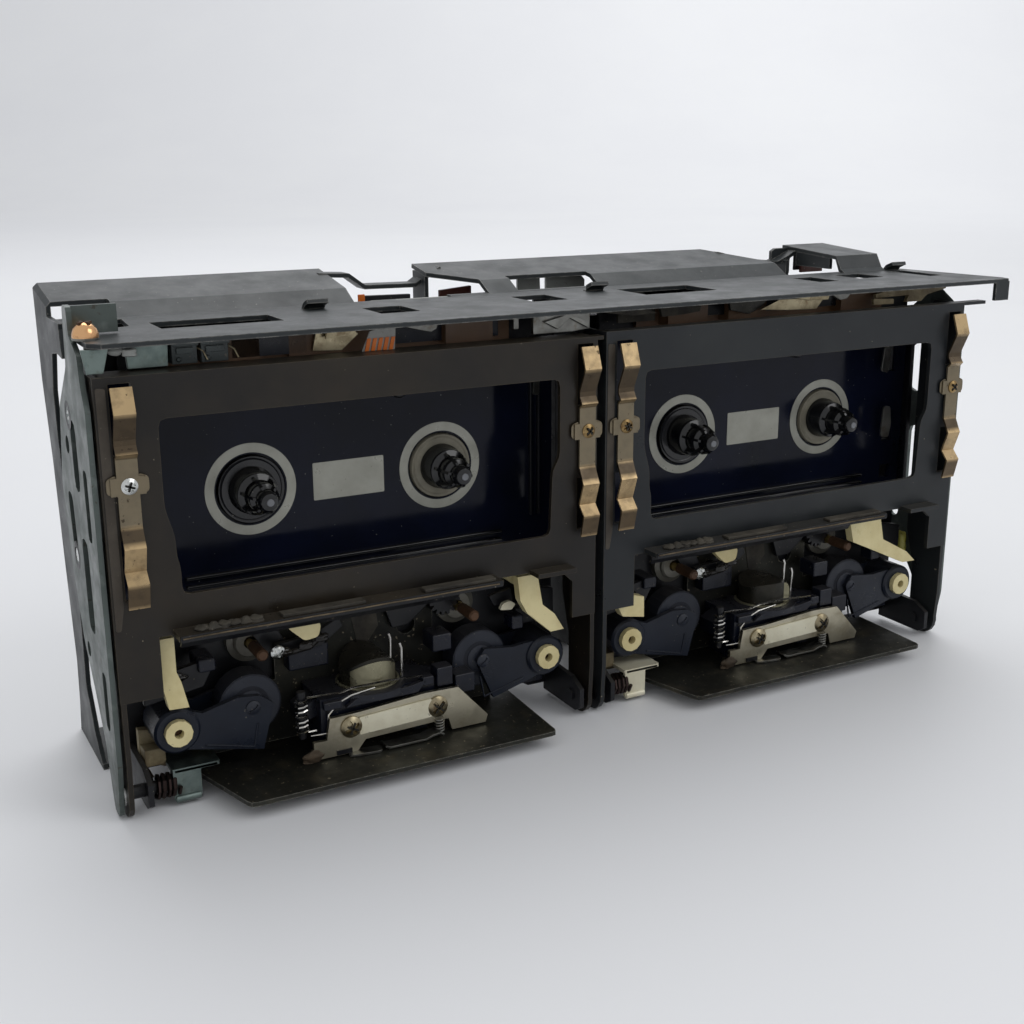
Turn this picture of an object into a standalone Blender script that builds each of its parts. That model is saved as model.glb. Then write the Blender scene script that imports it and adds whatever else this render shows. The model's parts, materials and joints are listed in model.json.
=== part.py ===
"""Twin-well auto-reverse cassette transport mechanism.

Two identical decks stand side by side under one shared top bracket. Lengths in the tables below are
millimetres: x runs to the right, y into the mechanism and z up, with the door fronts at y = 0 and
the surface that the legs stand on at z = 0. A deck's own pieces measure x from that deck's centre.
The finished part is in metres, with its origin under the middle of its bounding box.
"""
import math

import bmesh
import bpy
from mathutils import Matrix

MM = 0.001
GAP = 0.3                    # air kept between pieces that touch on the real mechanism

# whole mechanism
PITCH = 106.9                # centre of one deck to the centre of the other
LEFT_END = -108.65           # outer face of the left side plate
RIGHT_END = 122.0            # right end of the top bracket
BRACKET_LEFT = -106.8        # outer face of the top bracket's side arm
BRACKET_REAR = 58.0          # rear edge of the top bracket's raised parts
FRONT_END = -10.0            # front edge of the head shelf
REAR_END = 70.0              # back ends of the motor shafts
SHEET = 1.0                  # thickness of the formed sheet metal

# cassette well
HUB_X = 42.5 / 2             # spindles stand the standard 42.5 mm apart
HUB_Z = 60.2
CAPSTAN_X = 24.0
CAPSTAN_Z = 28.0
WINDOW = (-41.6, 41.4, 45.3, 79.6)
PANEL_FRONT, PANEL_BACK = 15.5, 16.7
CHASSIS_FRONT, CHASSIS_BACK = 17.0, 18.2
CHASSIS_HALF = 50.2
SIGHT_HOLE_X = (43.0, 46.4)  # slots through the right deck's panel and chassis
SIGHT_HOLE_Z = ((51.5, 59.5), (70.0, 77.5))

# door frame
DOOR_HALF = 52.8
DOOR_TOP = {"left": 88.0, "right": 88.8}
DOOR_DEPTH = 12.5
RAIL_END = 25.4              # the front faces of the side rails stop here, the flanges go on as legs
PIVOT_Y, PIVOT_Z = 5.0, 4.5
PIVOT_RADIUS = 1.4

# pinch arms
ARM_X, ARM_Z = 42.2, 15.2
ROLLER_DX, ROLLER_DZ = -15.8, 1.6
ROLLER_RADIUS = 6.6

# drive at the back
FLYWHEEL_RADIUS = 19.0
PULLEY_RADIUS = 5.0
MOTOR_Z = 70.0
BELT_FRONT, BELT_BACK = 37.8, 41.8
BELT_THICK = 1.0
BRACKET_FRONT, BRACKET_BACK = 46.0, 47.2

ROUND = 20                   # segments of an ordinary round piece


# ---------------------------------------------------------------- modelling helpers

def make_collection(name):
    """Make an empty collection in the scene."""
    collection = bpy.data.collections.new(name)
    bpy.context.scene.collection.children.link(collection)
    return collection


def make_material(name, colour, roughness, metallic=0.0):
    """Make a plain Principled material."""
    material = bpy.data.materials.new(name)
    material.use_nodes = True
    shader = material.node_tree.nodes["Principled BSDF"]
    shader.inputs["Base Color"].default_value = (*colour, 1.0)
    shader.inputs["Roughness"].default_value = roughness
    shader.inputs["Metallic"].default_value = metallic
    return material


def wrap(mesh_name, builder):
    """Turn a filled bmesh into an object whose lengths are metres."""
    mesh = bpy.data.meshes.new(mesh_name)
    bmesh.ops.scale(builder, vec=(MM, MM, MM), verts=builder.verts)
    builder.to_mesh(mesh)
    builder.free()
    return bpy.data.objects.new(mesh_name, mesh)


def baked(source, sharp_angle=40.0, merge=1e-6):
    """Replace a curve or a profile by the closed mesh that its modifiers make."""
    bpy.context.scene.collection.objects.link(source)
    graph = bpy.context.evaluated_depsgraph_get()
    mesh = bpy.data.meshes.new_from_object(source.evaluated_get(graph))
    builder = bmesh.new()
    builder.from_mesh(mesh)
    bmesh.ops.remove_doubles(builder, verts=builder.verts, dist=merge)
    bmesh.ops.dissolve_degenerate(builder, edges=builder.edges, dist=merge)
    bmesh.ops.recalc_face_normals(builder, faces=builder.faces)
    builder.to_mesh(mesh)
    builder.free()
    mesh.shade_smooth()
    mesh.set_sharp_from_angle(angle=math.radians(sharp_angle))
    solid = bpy.data.objects.new(source.name + "_solid", mesh)
    bpy.data.objects.remove(source)
    return solid


def cuboid(x, y, z):
    """A box between three (low, high) pairs."""
    builder = bmesh.new()
    middle = Matrix.Translation([(low + high) / 2 for low, high in (x, y, z)])
    size = Matrix.Diagonal([high - low for low, high in (x, y, z)] + [1.0])
    bmesh.ops.create_cube(builder, size=1.0, matrix=middle @ size)
    return wrap("cuboid", builder)


def rod(axis, across, along, radius, segments=ROUND):
    """A cylinder along one axis; across holds the other two coordinates in x, y, z order."""
    low, high = along
    middle = list(across)
    middle.insert("XYZ".index(axis), (low + high) / 2)
    turn = {
        "X": Matrix.Rotation(math.pi / 2, 4, "Y"),
        "Y": Matrix.Rotation(math.pi / 2, 4, "X"),
        "Z": Matrix.Identity(4),
    }[axis]
    builder = bmesh.new()
    bmesh.ops.create_cone(
        builder, cap_ends=True, segments=segments, radius1=radius, radius2=radius,
        depth=high - low, matrix=Matrix.Translation(middle) @ turn)
    return wrap("rod", builder)


def sheet(normal, low, high, outline, holes=()):
    """A flat plate cut to an outline of (a, b) points, with holes through it.

    The points are (x, z) for a plate that faces Y, (y, z) for X and (x, y) for Z.
    """
    curve = bpy.data.curves.new("outline", "CURVE")
    curve.dimensions = "2D"
    curve.fill_mode = "BOTH"
    curve.extrude = (high - low) / 2
    for loop in [outline, *holes]:
        spline = curve.splines.new("POLY")
        spline.points.add(len(loop) - 1)
        for point, (a, b) in zip(spline.points, loop):
            point.co = (a, b, 0.0, 1.0)
        spline.use_cyclic_u = True
    plate = baked(bpy.data.objects.new("plate", curve), sharp_angle=30.0, merge=0.001)
    middle = (low + high) / 2
    frames = {
        "X": Matrix(((0, 0, 1, middle), (1, 0, 0, 0), (0, 1, 0, 0), (0, 0, 0, 1))),
        "Y": Matrix(((1, 0, 0, 0), (0, 0, -1, middle), (0, 1, 0, 0), (0, 0, 0, 1))),
        "Z": Matrix(((1, 0, 0, 0), (0, 1, 0, 0), (0, 0, 1, middle), (0, 0, 0, 1))),
    }
    plate.data.transform(Matrix.Scale(MM, 4) @ frames[normal])
    return plate


def turned(axis, centre, profile, segments=ROUND):
    """A turned solid: the profile lists (radius, place along the axis), front or top end first."""
    mesh = bpy.data.meshes.new("profile")
    sign = -1.0 if axis == "Y" else 1.0
    points = [(radius * MM, 0.0, sign * place * MM) for radius, place in profile]
    edges = [(index, index + 1) for index in range(len(points) - 1)]
    mesh.from_pydata(points, edges, [])
    source = bpy.data.objects.new("profile", mesh)
    screw = source.modifiers.new("Turn", "SCREW")
    screw.axis = "Z"
    screw.angle = 2 * math.pi
    screw.steps = segments
    screw.render_steps = segments
    screw.use_merge_vertices = True
    screw.merge_threshold = 0.00001
    solid = baked(source)
    turn = Matrix.Rotation(math.pi / 2, 4, "X") if axis == "Y" else Matrix.Identity(4)
    middle = [coordinate * MM for coordinate in centre]
    middle.insert(1 if axis == "Y" else 2, 0.0)
    solid.data.transform(Matrix.Translation(middle) @ turn)
    return solid


def wire(points, radius, resolution=2):
    """A round wire along a list of points."""
    curve = bpy.data.curves.new("wire", "CURVE")
    curve.dimensions = "3D"
    curve.bevel_depth = radius * MM
    curve.bevel_resolution = resolution
    curve.use_fill_caps = True
    spline = curve.splines.new("POLY")
    spline.points.add(len(points) - 1)
    for point, place in zip(spline.points, points):
        point.co = (*[coordinate * MM for coordinate in place], 1.0)
    return baked(bpy.data.objects.new("wire", curve), sharp_angle=80.0)


def circle(a, b, radius, count=12):
    """The points of a round hole."""
    turns = [2 * math.pi * step / count for step in range(count)]
    return [(a + radius * math.cos(turn), b + radius * math.sin(turn)) for turn in turns]


def oblong(a, b):
    """The points of a rectangular hole between two (low, high) pairs."""
    return [(a[0], b[0]), (a[1], b[0]), (a[1], b[1]), (a[0], b[1])]


def rounded(points, radius, steps=2):
    """Round every corner of an outline."""
    result = []
    for index, corner in enumerate(points):
        before = points[index - 1]
        after = points[(index + 1) % len(points)]
        arms = []
        for other in (before, after):
            length = math.dist(corner, other)
            reach = min(radius, length * 0.45) / length
            arms.append([c + (o - c) * reach for c, o in zip(corner, other)])
        for step in range(steps + 1):
            t = step / steps
            result.append(tuple(
                (1 - t) ** 2 * start + 2 * t * (1 - t) * middle + t ** 2 * end
                for start, middle, end in zip(arms[0], corner, arms[1])))
    return result


def ribbon(path, thickness):
    """The closed outline of a bent strip that follows a path."""
    sides = ([], [])
    for index, point in enumerate(path):
        before = path[max(index - 1, 0)]
        after = path[min(index + 1, len(path) - 1)]
        run = math.dist(before, after)
        normal = ((before[1] - after[1]) / run, (after[0] - before[0]) / run)
        for side, sign in zip(sides, (1, -1)):
            side.append(tuple(p + sign * n * thickness / 2 for p, n in zip(point, normal)))
    return sides[0] + sides[1][::-1]


def belt_path(rounds, clockwise):
    """Centre line of a belt round several circles, given as (x, z, radius)."""
    turns = [-radius if back else radius for (_, _, radius), back in zip(rounds, clockwise)]
    count = len(rounds)
    runs = []
    for index in range(count):
        x0, z0, _ = rounds[index]
        x1, z1, _ = rounds[(index + 1) % count]
        difference = turns[(index + 1) % count] - turns[index]
        span = math.dist((x0, z0), (x1, z1))
        heading = math.atan2(z1 - z0, x1 - x0) - math.asin(difference / span)
        runs.append(heading)
    path = []
    for index, (x, z, _) in enumerate(rounds):
        arrive, leave = runs[index - 1], runs[index]
        radius = turns[index]
        swing = (leave - arrive) % (2 * math.pi)
        if radius < 0:
            swing -= 2 * math.pi
        steps = max(2, round(abs(swing) / math.radians(20)))
        for step in range(steps + 1):
            heading = arrive + swing * step / steps
            path.append((x + radius * math.sin(heading), z - radius * math.cos(heading)))
    return path


def offset_loop(path, distance):
    """Move a closed path sideways."""
    result = []
    for index, point in enumerate(path):
        before = path[index - 1]
        after = path[(index + 1) % len(path)]
        run = math.dist(before, after)
        normal = ((after[1] - before[1]) / run, (before[0] - after[0]) / run)
        result.append(tuple(p + n * distance for p, n in zip(point, normal)))
    return result


class Deck:
    """One of the two transports: its name, its place and its parent empty."""

    def __init__(self, side, centre, door_shift, root):
        self.side = side
        self.centre = centre
        self.door = door_shift
        self.outer = -1 if side == "left" else 1
        self.empty = bpy.data.objects.new(side + "_deck", None)
        self.empty.location = (centre * MM, 0.0, 0.0)
        self.empty.parent = root
        PARTS.objects.link(self.empty)


def finish(name, body, material, parent, origin=(0.0, 0.0, 0.0), joined=(), cut=()):
    """Name a piece, put its origin on its joint axis and join or cut it with other solids."""
    place = [coordinate * MM for coordinate in origin]
    body.name = name
    body.data.name = name
    body.data.transform(Matrix.Translation(place).inverted())
    body.location = place
    body.parent = parent
    body.data.materials.clear()
    body.data.materials.append(MATERIALS[material])
    PARTS.objects.link(body)
    for tools, operation in ((joined, "UNION"), (cut, "DIFFERENCE")):
        for number, tool in enumerate(tools):
            tool.name = f"{name}_{operation.lower()}_{number}"
            tool.parent = parent
            tool.hide_render = True
            tool.display_type = "WIRE"
            CUTTERS.objects.link(tool)
            boolean = body.modifiers.new(tool.name, "BOOLEAN")
            boolean.operation = operation
            boolean.solver = "EXACT"
            boolean.object = tool
    return body


# ---------------------------------------------------------------- structure of one deck

def chassis(deck):
    """Black plate with side flanges, pivot ears and the door's pivot pins."""
    half = CHASSIS_HALF
    outline = [
        (-half, 3.2), (-36.0, 3.2), (-31.0, 8.0), (-9.0, 8.0), (-7.0, 5.0), (7.0, 5.0), (9.0, 8.0),
        (31.0, 8.0), (36.0, 8.0), (44.0, 3.2), (half, 3.2), (half, 90.0), (34.0, 90.0),
        (32.0, 92.7), (22.0, 92.7), (20.0, 90.0), (-20.0, 90.0), (-22.0, 92.7), (-32.0, 92.7),
        (-34.0, 90.0), (-half, 90.0)]
    holes = [circle(x, HUB_Z, 2.6) for x in (-HUB_X, HUB_X)]
    holes += [circle(x, CAPSTAN_Z, 1.9) for x in (-CAPSTAN_X, CAPSTAN_X)]
    if deck.side == "right":
        holes += [oblong(SIGHT_HOLE_X, z) for z in ((37.5, 45.0), *SIGHT_HOLE_Z)]
    plate = sheet("Y", CHASSIS_FRONT, CHASSIS_BACK, outline, holes)
    joined = []
    flange = [(17.6, 10.0), (30.0, 10.0), (44.0, 18.0), (44.0, 88.0), (17.6, 88.0)]
    window = rounded(oblong((23.0, 39.0), (36.0, 80.0)), 3.0)
    ear = [(17.8, 1.2), (17.8, 9.4), (5.0, 9.0), (0.9, 7.0), (0.9, 2.5), (3.0, 1.2)]
    for side in (-1, 1):
        inner, outer = sorted((side * (half - 1.1), side * (half - 0.1)))
        joined.append(sheet("X", inner, outer, flange, [window]))
        inner, outer = sorted((side * (half - 1.5), side * (half - 0.4)))
        joined.append(sheet("X", inner, outer, ear))
        leg = deck.door + side * DOOR_HALF
        ends = sorted((leg, side * (half - (7.6 if side < 0 else 2.0))))
        joined.append(rod("X", (PIVOT_Y, PIVOT_Z), ends, PIVOT_RADIUS, 12))
    finish(deck.side + "_chassis", plate, "chassis_black", deck.empty, joined=joined)


def side_plate(deck):
    """Punched zinc plate on the deck's outer side, with two spacers to the chassis.

    The left one stands up past the end of the top bracket, with a tab bent over the corner.
    """
    top = 99.8 if deck.side == "left" else 92.4
    shoulder = [(10.4, 94.4), (4.2, 91.6), (3.4, 86.0)] if deck.side == "left" else [(4.6, 88.4)]
    outline = rounded([
        (1.0, 12.0), (3.2, 0.6), (7.0, 0.6), (11.0, 14.0), (17.0, 22.5), (24.0, 31.0), (29.5, 46.0),
        (32.0, 62.0), (26.5, 79.0), (16.0, 88.0), (14.4, top), (10.8, top), *shoulder,
        (1.0, 82.0)], 1.0)
    holes = [
        rounded(oblong((12.5, 17.5), (64.0, 78.0)), 2.4),
        rounded([(20.5, 48.0), (25.0, 48.0), (26.5, 62.0), (22.0, 62.0)], 1.6),
        rounded(oblong((10.5, 16.0), (36.0, 55.0)), 2.0),
        rounded(oblong((5.0, 8.5), (56.0, 70.0)), 1.5),
        rounded(oblong((4.5, 8.0), (18.0, 30.0)), 1.5),
        circle(22.0, 72.0, 1.8, 12),
        circle(19.5, 30.5, 1.6, 12)]
    near = deck.door + deck.outer * (DOOR_HALF + 0.45)
    far = near + deck.outer * SHEET
    inner, outer = sorted((near, far))
    plate = sheet("X", inner, outer, outline, holes)
    joined = []
    if deck.side == "left":
        joined.append(cuboid((near - 0.5, near + 8.5), (12.6, 13.6), (94.4, 99.6)))
    spacer_end = deck.outer * (CHASSIS_HALF + GAP)
    for y, z in ((27.5, 68.0), (26.5, 41.0)):
        joined.append(rod("X", (y, z), sorted((near + deck.outer * 0.3, spacer_end)), 1.6, 14))
    finish(deck.side + "_side_plate", plate, "zinc", deck.empty, joined=joined)


def face_panel(deck):
    """Glossy blue-black plate behind the cassette, with a round opening at each spindle."""
    outline = rounded(oblong((-49.4, 49.4), (39.5, 86.5)), 1.5)
    holes = [circle(x, HUB_Z, 7.4, 24) for x in (-HUB_X, HUB_X)]
    if deck.side == "right":
        holes += [oblong(SIGHT_HOLE_X, z) for z in ((41.5, 45.0), *SIGHT_HOLE_Z)]
    finish(deck.side + "_face_panel", sheet("Y", PANEL_FRONT, PANEL_BACK, outline, holes),
           "panel_gloss", deck.empty)


def door_frame(deck):
    """Sheet frame round the cassette window; it hinges on two pins at the bottom of its legs."""
    centre = deck.door
    left, right = centre - DOOR_HALF, centre + DOOR_HALF
    top = DOOR_TOP[deck.side]
    narrow = 5.9 if deck.side == "left" else 6.2
    outline = [
        (left, RAIL_END), (left + 8.3, RAIL_END), (left + 8.3, 37.6), (right - narrow - 4.0, 37.6),
        (right - narrow, 34.0), (right - narrow, RAIL_END), (right, RAIL_END),
        (right, top), (left, top)]
    x0, x1, z0, z1 = WINDOW
    window = rounded([
        (x0 + 1.2, z0), (x1 - 1.2, z0), (x1 - 0.6, 60.0), (x1 + 1.2, 62.5), (x1 + 1.2, z1),
        (x0 - 1.0, z1), (x0 - 1.0, 62.5), (x0 + 0.6, 57.0), (x0 + 0.6, 53.0), (x0 + 1.2, 51.0)], 1.6)
    clip_x = [clip_place(deck, side) for side in (-1, 1)]
    recesses = []
    for x in clip_x:
        for z in ((73.5, 86.7), (45.8, 57.5)):
            recesses.append(oblong((x - 2.0, x + 2.0), z))
    front = sheet("Y", 0.0, SHEET, outline, [window, *recesses])
    leg = [(0.1, top - 0.1), (0.1, 12.0), (0.6, PIVOT_Z + 1.0)]
    leg += [(PIVOT_Y + 4.5 * math.cos(turn), PIVOT_Z + 4.5 * math.sin(turn))
            for turn in [math.radians(180 + 22.5 * step) for step in range(9)]]
    leg += [(9.6, 18.0), (DOOR_DEPTH, 27.0), (DOOR_DEPTH, 84.0), (9.0, top - 0.1)]
    pivot = circle(PIVOT_Y, PIVOT_Z, PIVOT_RADIUS + GAP, 12)
    joined = []
    for low in (left + 0.1, right - 0.1 - SHEET):
        joined.append(sheet("X", low, low + SHEET, leg, [pivot]))
    tab, fold = (2.0, 6.8) if deck.side == "left" else (8.0, 3.2)
    joined.append(cuboid((left + 1.6, right - 0.2), (0.4, fold), (top - SHEET, top)))
    joined.append(cuboid((right - 12.0, right + tab - 0.2), (0.5, 3.0), (top - 0.8, top)))
    joined.append(cuboid((left + 11.0, left + 80.0), (-4.6, 0.5), (37.6, 38.7)))
    joined.append(cuboid((right - 16.5, right - 7.0), (-3.6, 0.5), (37.2, 38.2)))
    finish(deck.side + "_door_frame", front, "frame_paint", deck.empty,
           origin=(centre, PIVOT_Y, PIVOT_Z), joined=joined)


def clip_place(deck, side):
    """The x of a leaf clip: in the middle of its side rail."""
    return deck.door + (-DOOR_HALF + 4.7 if side < 0 else DOOR_HALF - 2.9)


def leaf_clips(deck):
    """Gold-plated strips bent in a zig-zag, screwed to the side rails of the door frame."""
    path = [
        (-1.3, 86.2), (-3.0, 81.6), (-0.7, 76.6), (-0.7, 75.4), (-1.7, 74.0), (-0.7, 73.0),
        (-0.7, 60.0), (-2.6, 56.4), (-0.9, 51.6), (-2.9, 49.4), (-1.7, 44.6)]
    for side, word in ((-1, "left"), (1, "right")):
        x = clip_place(deck, side)
        strip = sheet("X", x - 2.0, x + 2.0, ribbon(path, 0.5))
        ears = cuboid((x - 3.2, x + 3.2), (-0.94, -0.46), (66.2, 69.6))
        finish(f"{deck.side}_clip_{word}", strip, "gold", deck.empty, joined=[ears])


def door_spring(deck):
    """Torsion spring coiled round the left pivot pin."""
    coils, count = 4.75, 8
    start = -CHASSIS_HALF + 2.2
    steps = round(coils * count)
    points = [(start - 0.2, PIVOT_Y + 8.2, PIVOT_Z + 2.25), (start, PIVOT_Y + 4.0, PIVOT_Z + 2.25)]
    for step in range(steps + 1):
        turn = math.pi / 2 - 2 * math.pi * step / count
        points.append((start + 1.05 * step / count,
                       PIVOT_Y + 2.3 * math.cos(turn), PIVOT_Z + 2.3 * math.sin(turn)))
    finish(deck.side + "_door_spring", wire(points, 0.42, 1), "spring_steel", deck.empty)


# ---------------------------------------------------------------- moving pieces of one deck

def reels(deck):
    """Spindles that drive the cassette hubs, each with its gear behind the chassis."""
    profile = [
        (0.0, 3.0), (0.9, 4.0), (1.9, 4.4), (2.9, 7.2), (3.5, 7.6), (3.5, 11.0), (4.4, 11.4),
        (4.4, 14.4), (6.9, 14.8), (6.9, 16.6), (2.2, 16.6), (2.2, 18.6), (9.4, 18.6), (9.4, 21.6),
        (0.0, 21.6)]
    for side, word in ((-1, "left"), (1, "right")):
        x = side * HUB_X
        body = turned("Y", (x, HUB_Z), profile, 16)
        fins = []
        for turn in (90, 210, 330):
            fin = cuboid((0.0, 4.9), (6.0, 11.6), (-0.5, 0.5))
            fin.data.transform(
                Matrix.Translation((x * MM, 0.0, HUB_Z * MM))
                @ Matrix.Rotation(math.radians(turn), 4, "Y"))
            fins.append(fin)
        finish(f"{deck.side}_reel_{word}", body, "black_plastic", deck.empty,
               origin=(x, PANEL_FRONT, HUB_Z), joined=fins)


def flywheels(deck):
    """Heavy wheels behind the chassis, each pressed on its capstan shaft."""
    profile = [
        (0.0, 5.0), (1.1, 5.4), (1.1, 34.5), (4.2, 34.5), (4.2, 39.0), (15.4, 39.0), (15.4, 36.4),
        (FLYWHEEL_RADIUS, 36.4), (FLYWHEEL_RADIUS, 43.2), (0.0, 43.2)]
    for side, word in ((-1, "left"), (1, "right")):
        x = side * CAPSTAN_X
        finish(f"{deck.side}_flywheel_{word}", turned("Y", (x, CAPSTAN_Z), profile, 24), "brass",
               deck.empty, origin=(x, 40.0, CAPSTAN_Z))


def pinch_arms(deck):
    """Black plastic arms that swing a rubber roller up against the capstan."""
    ends = {
        "left": [(1.4, 4.0), (5.4, 2.6), (12.8, 4.4), (17.4, 3.9), (20.2, 1.7), (17.6, -8.0)],
        "right": [(1.4, 4.0), (8.2, 3.4), (15.4, 4.2), (17.2, 1.6), (13.2, -7.8)]}
    turns = [math.radians(240 - 30 * step) for step in range(5)]
    knuckle = [(4.3 * math.cos(turn), 4.3 * math.sin(turn)) for turn in turns]
    for side, word in ((-1, "left"), (1, "right")):
        x = side * ARM_X
        outline = ends[word] + [(0.4, -4.2)] + knuckle
        plate = [(x - side * a, ARM_Z + b) for a, b in outline]
        roller = (x + side * ROLLER_DX, ARM_Z + ROLLER_DZ)
        tube = turned("Y", (x, ARM_Z), [
            (2.3, 5.6), (4.7, 5.6), (4.7, 14.8), (2.3, 14.8), (2.3, 5.6)], 16)
        bore = circle(x, ARM_Z, 3.4, 12)
        joined = [
            sheet("Y", 5.9, 7.2, plate, [bore]),
            sheet("Y", 13.6, 14.6, plate, [bore]),
            rod("Y", roller, (6.3, 14.2), 1.0, 10)]
        finish(f"{deck.side}_pinch_arm_{word}", tube, "arm_plastic", deck.empty,
               origin=(x, 10.0, ARM_Z), joined=joined)
        tyre = turned("Y", roller, [
            (1.4, 7.6), (ROLLER_RADIUS, 7.8), (ROLLER_RADIUS, 13.0), (1.4, 13.2), (1.4, 7.6)], 24)
        finish(f"{deck.side}_pinch_roller_{word}", tyre, "rubber", deck.empty,
               origin=(roller[0], 10.0, roller[1]))
        bush = turned("Y", (x, ARM_Z), [
            (0.0, 6.4), (1.0, 6.4), (1.0, 3.9), (2.8, 3.9), (2.8, 5.3), (1.8, 5.3), (1.8, 16.7),
            (0.0, 16.7)], 12)
        finish(f"{deck.side}_pinch_bush_{word}", bush, "cream_plastic", deck.empty)


def head_assembly(deck):
    """Sliding head plate with its shelf, the head on its mount and the azimuth bracket."""
    upright = sheet("Y", 15.3, 16.5, [
        (-33.0, 3.2), (33.0, 3.2), (33.0, 18.0), (18.5, 18.0), (18.5, 31.0), (-18.5, 31.0),
        (-18.5, 18.0), (-33.0, 18.0)], [circle(-12.0, 25.0, 2.2, 14), circle(12.0, 25.0, 2.2, 14)])
    shelf = sheet("Z", 3.0, 4.0, rounded([
        (-32.6, FRONT_END), (36.4, FRONT_END), (37.6, 16.4), (-35.4, 16.4), (-38.0, 9.0)], 1.2))
    plate = finish(deck.side + "_head_plate", upright, "steel_dark", deck.empty,
                   origin=(0.0, 16.0, 3.0), joined=[shelf])
    mount = cuboid((-13.0, 13.0), (3.0, 15.0), (8.4, 16.6))
    posts = [cuboid((x - 1.6, x + 1.6), (5.0, 14.0), (4.3, 9.0)) for x in (-10.5, 10.5)]
    wings = [
        sheet("Y", 6.0, 12.0, [(9.0, 13.0), (17.0, 9.4), (18.8, 11.0), (18.8, 15.0), (12.0, 16.5)]),
        sheet("Y", 6.0, 12.0, [(-9.0, 13.0), (-12.0, 16.5), (-16.6, 14.0), (-16.6, 11.0)])]
    bore = rod("Z", (0.0, 9.0), (12.0, 18.0), 5.95, 24)
    finish(deck.side + "_head_mount", mount, "mount_plastic", deck.empty,
           joined=posts + wings, cut=[bore])
    barrel = turned("Z", (0.0, 9.0), [
        (0.0, 19.4), (5.0, 19.4), (5.5, 18.8), (5.5, 12.3), (0.0, 12.3)], 24)
    nose = turned("Y", (0.0, 17.4), [(0.0, 6.0), (5.0, 6.0), (5.0, 12.0), (0.0, 12.0)], 24)
    finish(deck.side + "_head", barrel, "nickel", deck.empty, origin=(0.0, 9.0, 15.0),
           joined=[nose])
    bracket = sheet("Y", 0.9, 1.9, [
        (-15.5, 4.4), (-6.0, 4.4), (-4.0, 6.8), (15.4, 7.3), (16.2, 4.5), (24.4, 4.5), (24.9, 6.2),
        (17.8, 14.1), (10.0, 14.3), (-5.0, 13.2), (-11.8, 13.0), (-12.6, 8.3), (-15.5, 8.3)],
        [circle(-7.2, 10.3, 1.0, 12), circle(12.7, 10.7, 1.0, 12)])
    foot = cuboid((-15.0, -6.5), (1.2, 4.6), (4.3, 5.3))
    finish(deck.side + "_azimuth_bracket", bracket, "nickel", deck.empty, joined=[foot])
    coil_x, coil_y, low = -16.8, 4.0, 9.6
    coils, count = 7, 8
    points = [(-13.7, coil_y, low), (coil_x + 1.3, coil_y, low)]
    for step in range(coils * count + 1):
        turn = 2 * math.pi * step / count
        points.append((coil_x + 1.3 * math.cos(turn), coil_y + 1.3 * math.sin(turn),
                       low + 7.8 * step / (coils * count)))
    points += [(-9.0, 2.2, 17.8), (-6.0, 2.2, 18.4), (2.0, 2.2, 18.4), (10.0, 2.2, 17.8)]
    finish(deck.side + "_head_spring", wire(points, 0.22, 0), "bright_wire", deck.empty)
    return plate


def sensor_levers(deck):
    """Cream fingers that feel the cassette and the tape, pivoted on the chassis."""
    left, horn = {
        "left": (
            ((-43.8, 34.2), [(-45.6, 36.2), (-42.2, 36.2), (-42.2, 29.0), (-41.4, 26.8),
                             (-40.2, 21.2), (-44.1, 21.4), (-45.1, 26.4)]),
            ((36.2, 34.2), [(33.4, 36.2), (38.4, 36.2), (39.7, 28.8), (42.8, 26.1), (45.2, 22.1),
                            (41.8, 22.0), (35.9, 27.3), (34.1, 30.5)])),
        "right": (
            ((-47.2, 34.2), [(-49.0, 36.2), (-45.6, 36.2), (-45.4, 27.6), (-40.1, 26.1),
                             (-40.0, 21.1), (-45.9, 22.2), (-48.4, 27.0)]),
            ((28.8, 34.2), [(21.6, 36.2), (31.8, 36.2), (33.4, 29.2), (41.8, 24.7), (44.9, 21.8),
                            (40.7, 21.9), (31.0, 26.4), (23.3, 29.9)])),
    }[deck.side]
    for word, (pivot, outline) in (("left", left), ("right", horn)):
        finger = sheet("Y", 2.4, 4.8, outline)
        boss = rod("Y", pivot, (4.4, 16.7), 1.8, 12)
        finish(f"{deck.side}_sensor_lever_{word}", finger, "cream_plastic", deck.empty,
               origin=(pivot[0], 10.0, pivot[1]), joined=[boss])


# ---------------------------------------------------------------- drive at the back of one deck

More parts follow.
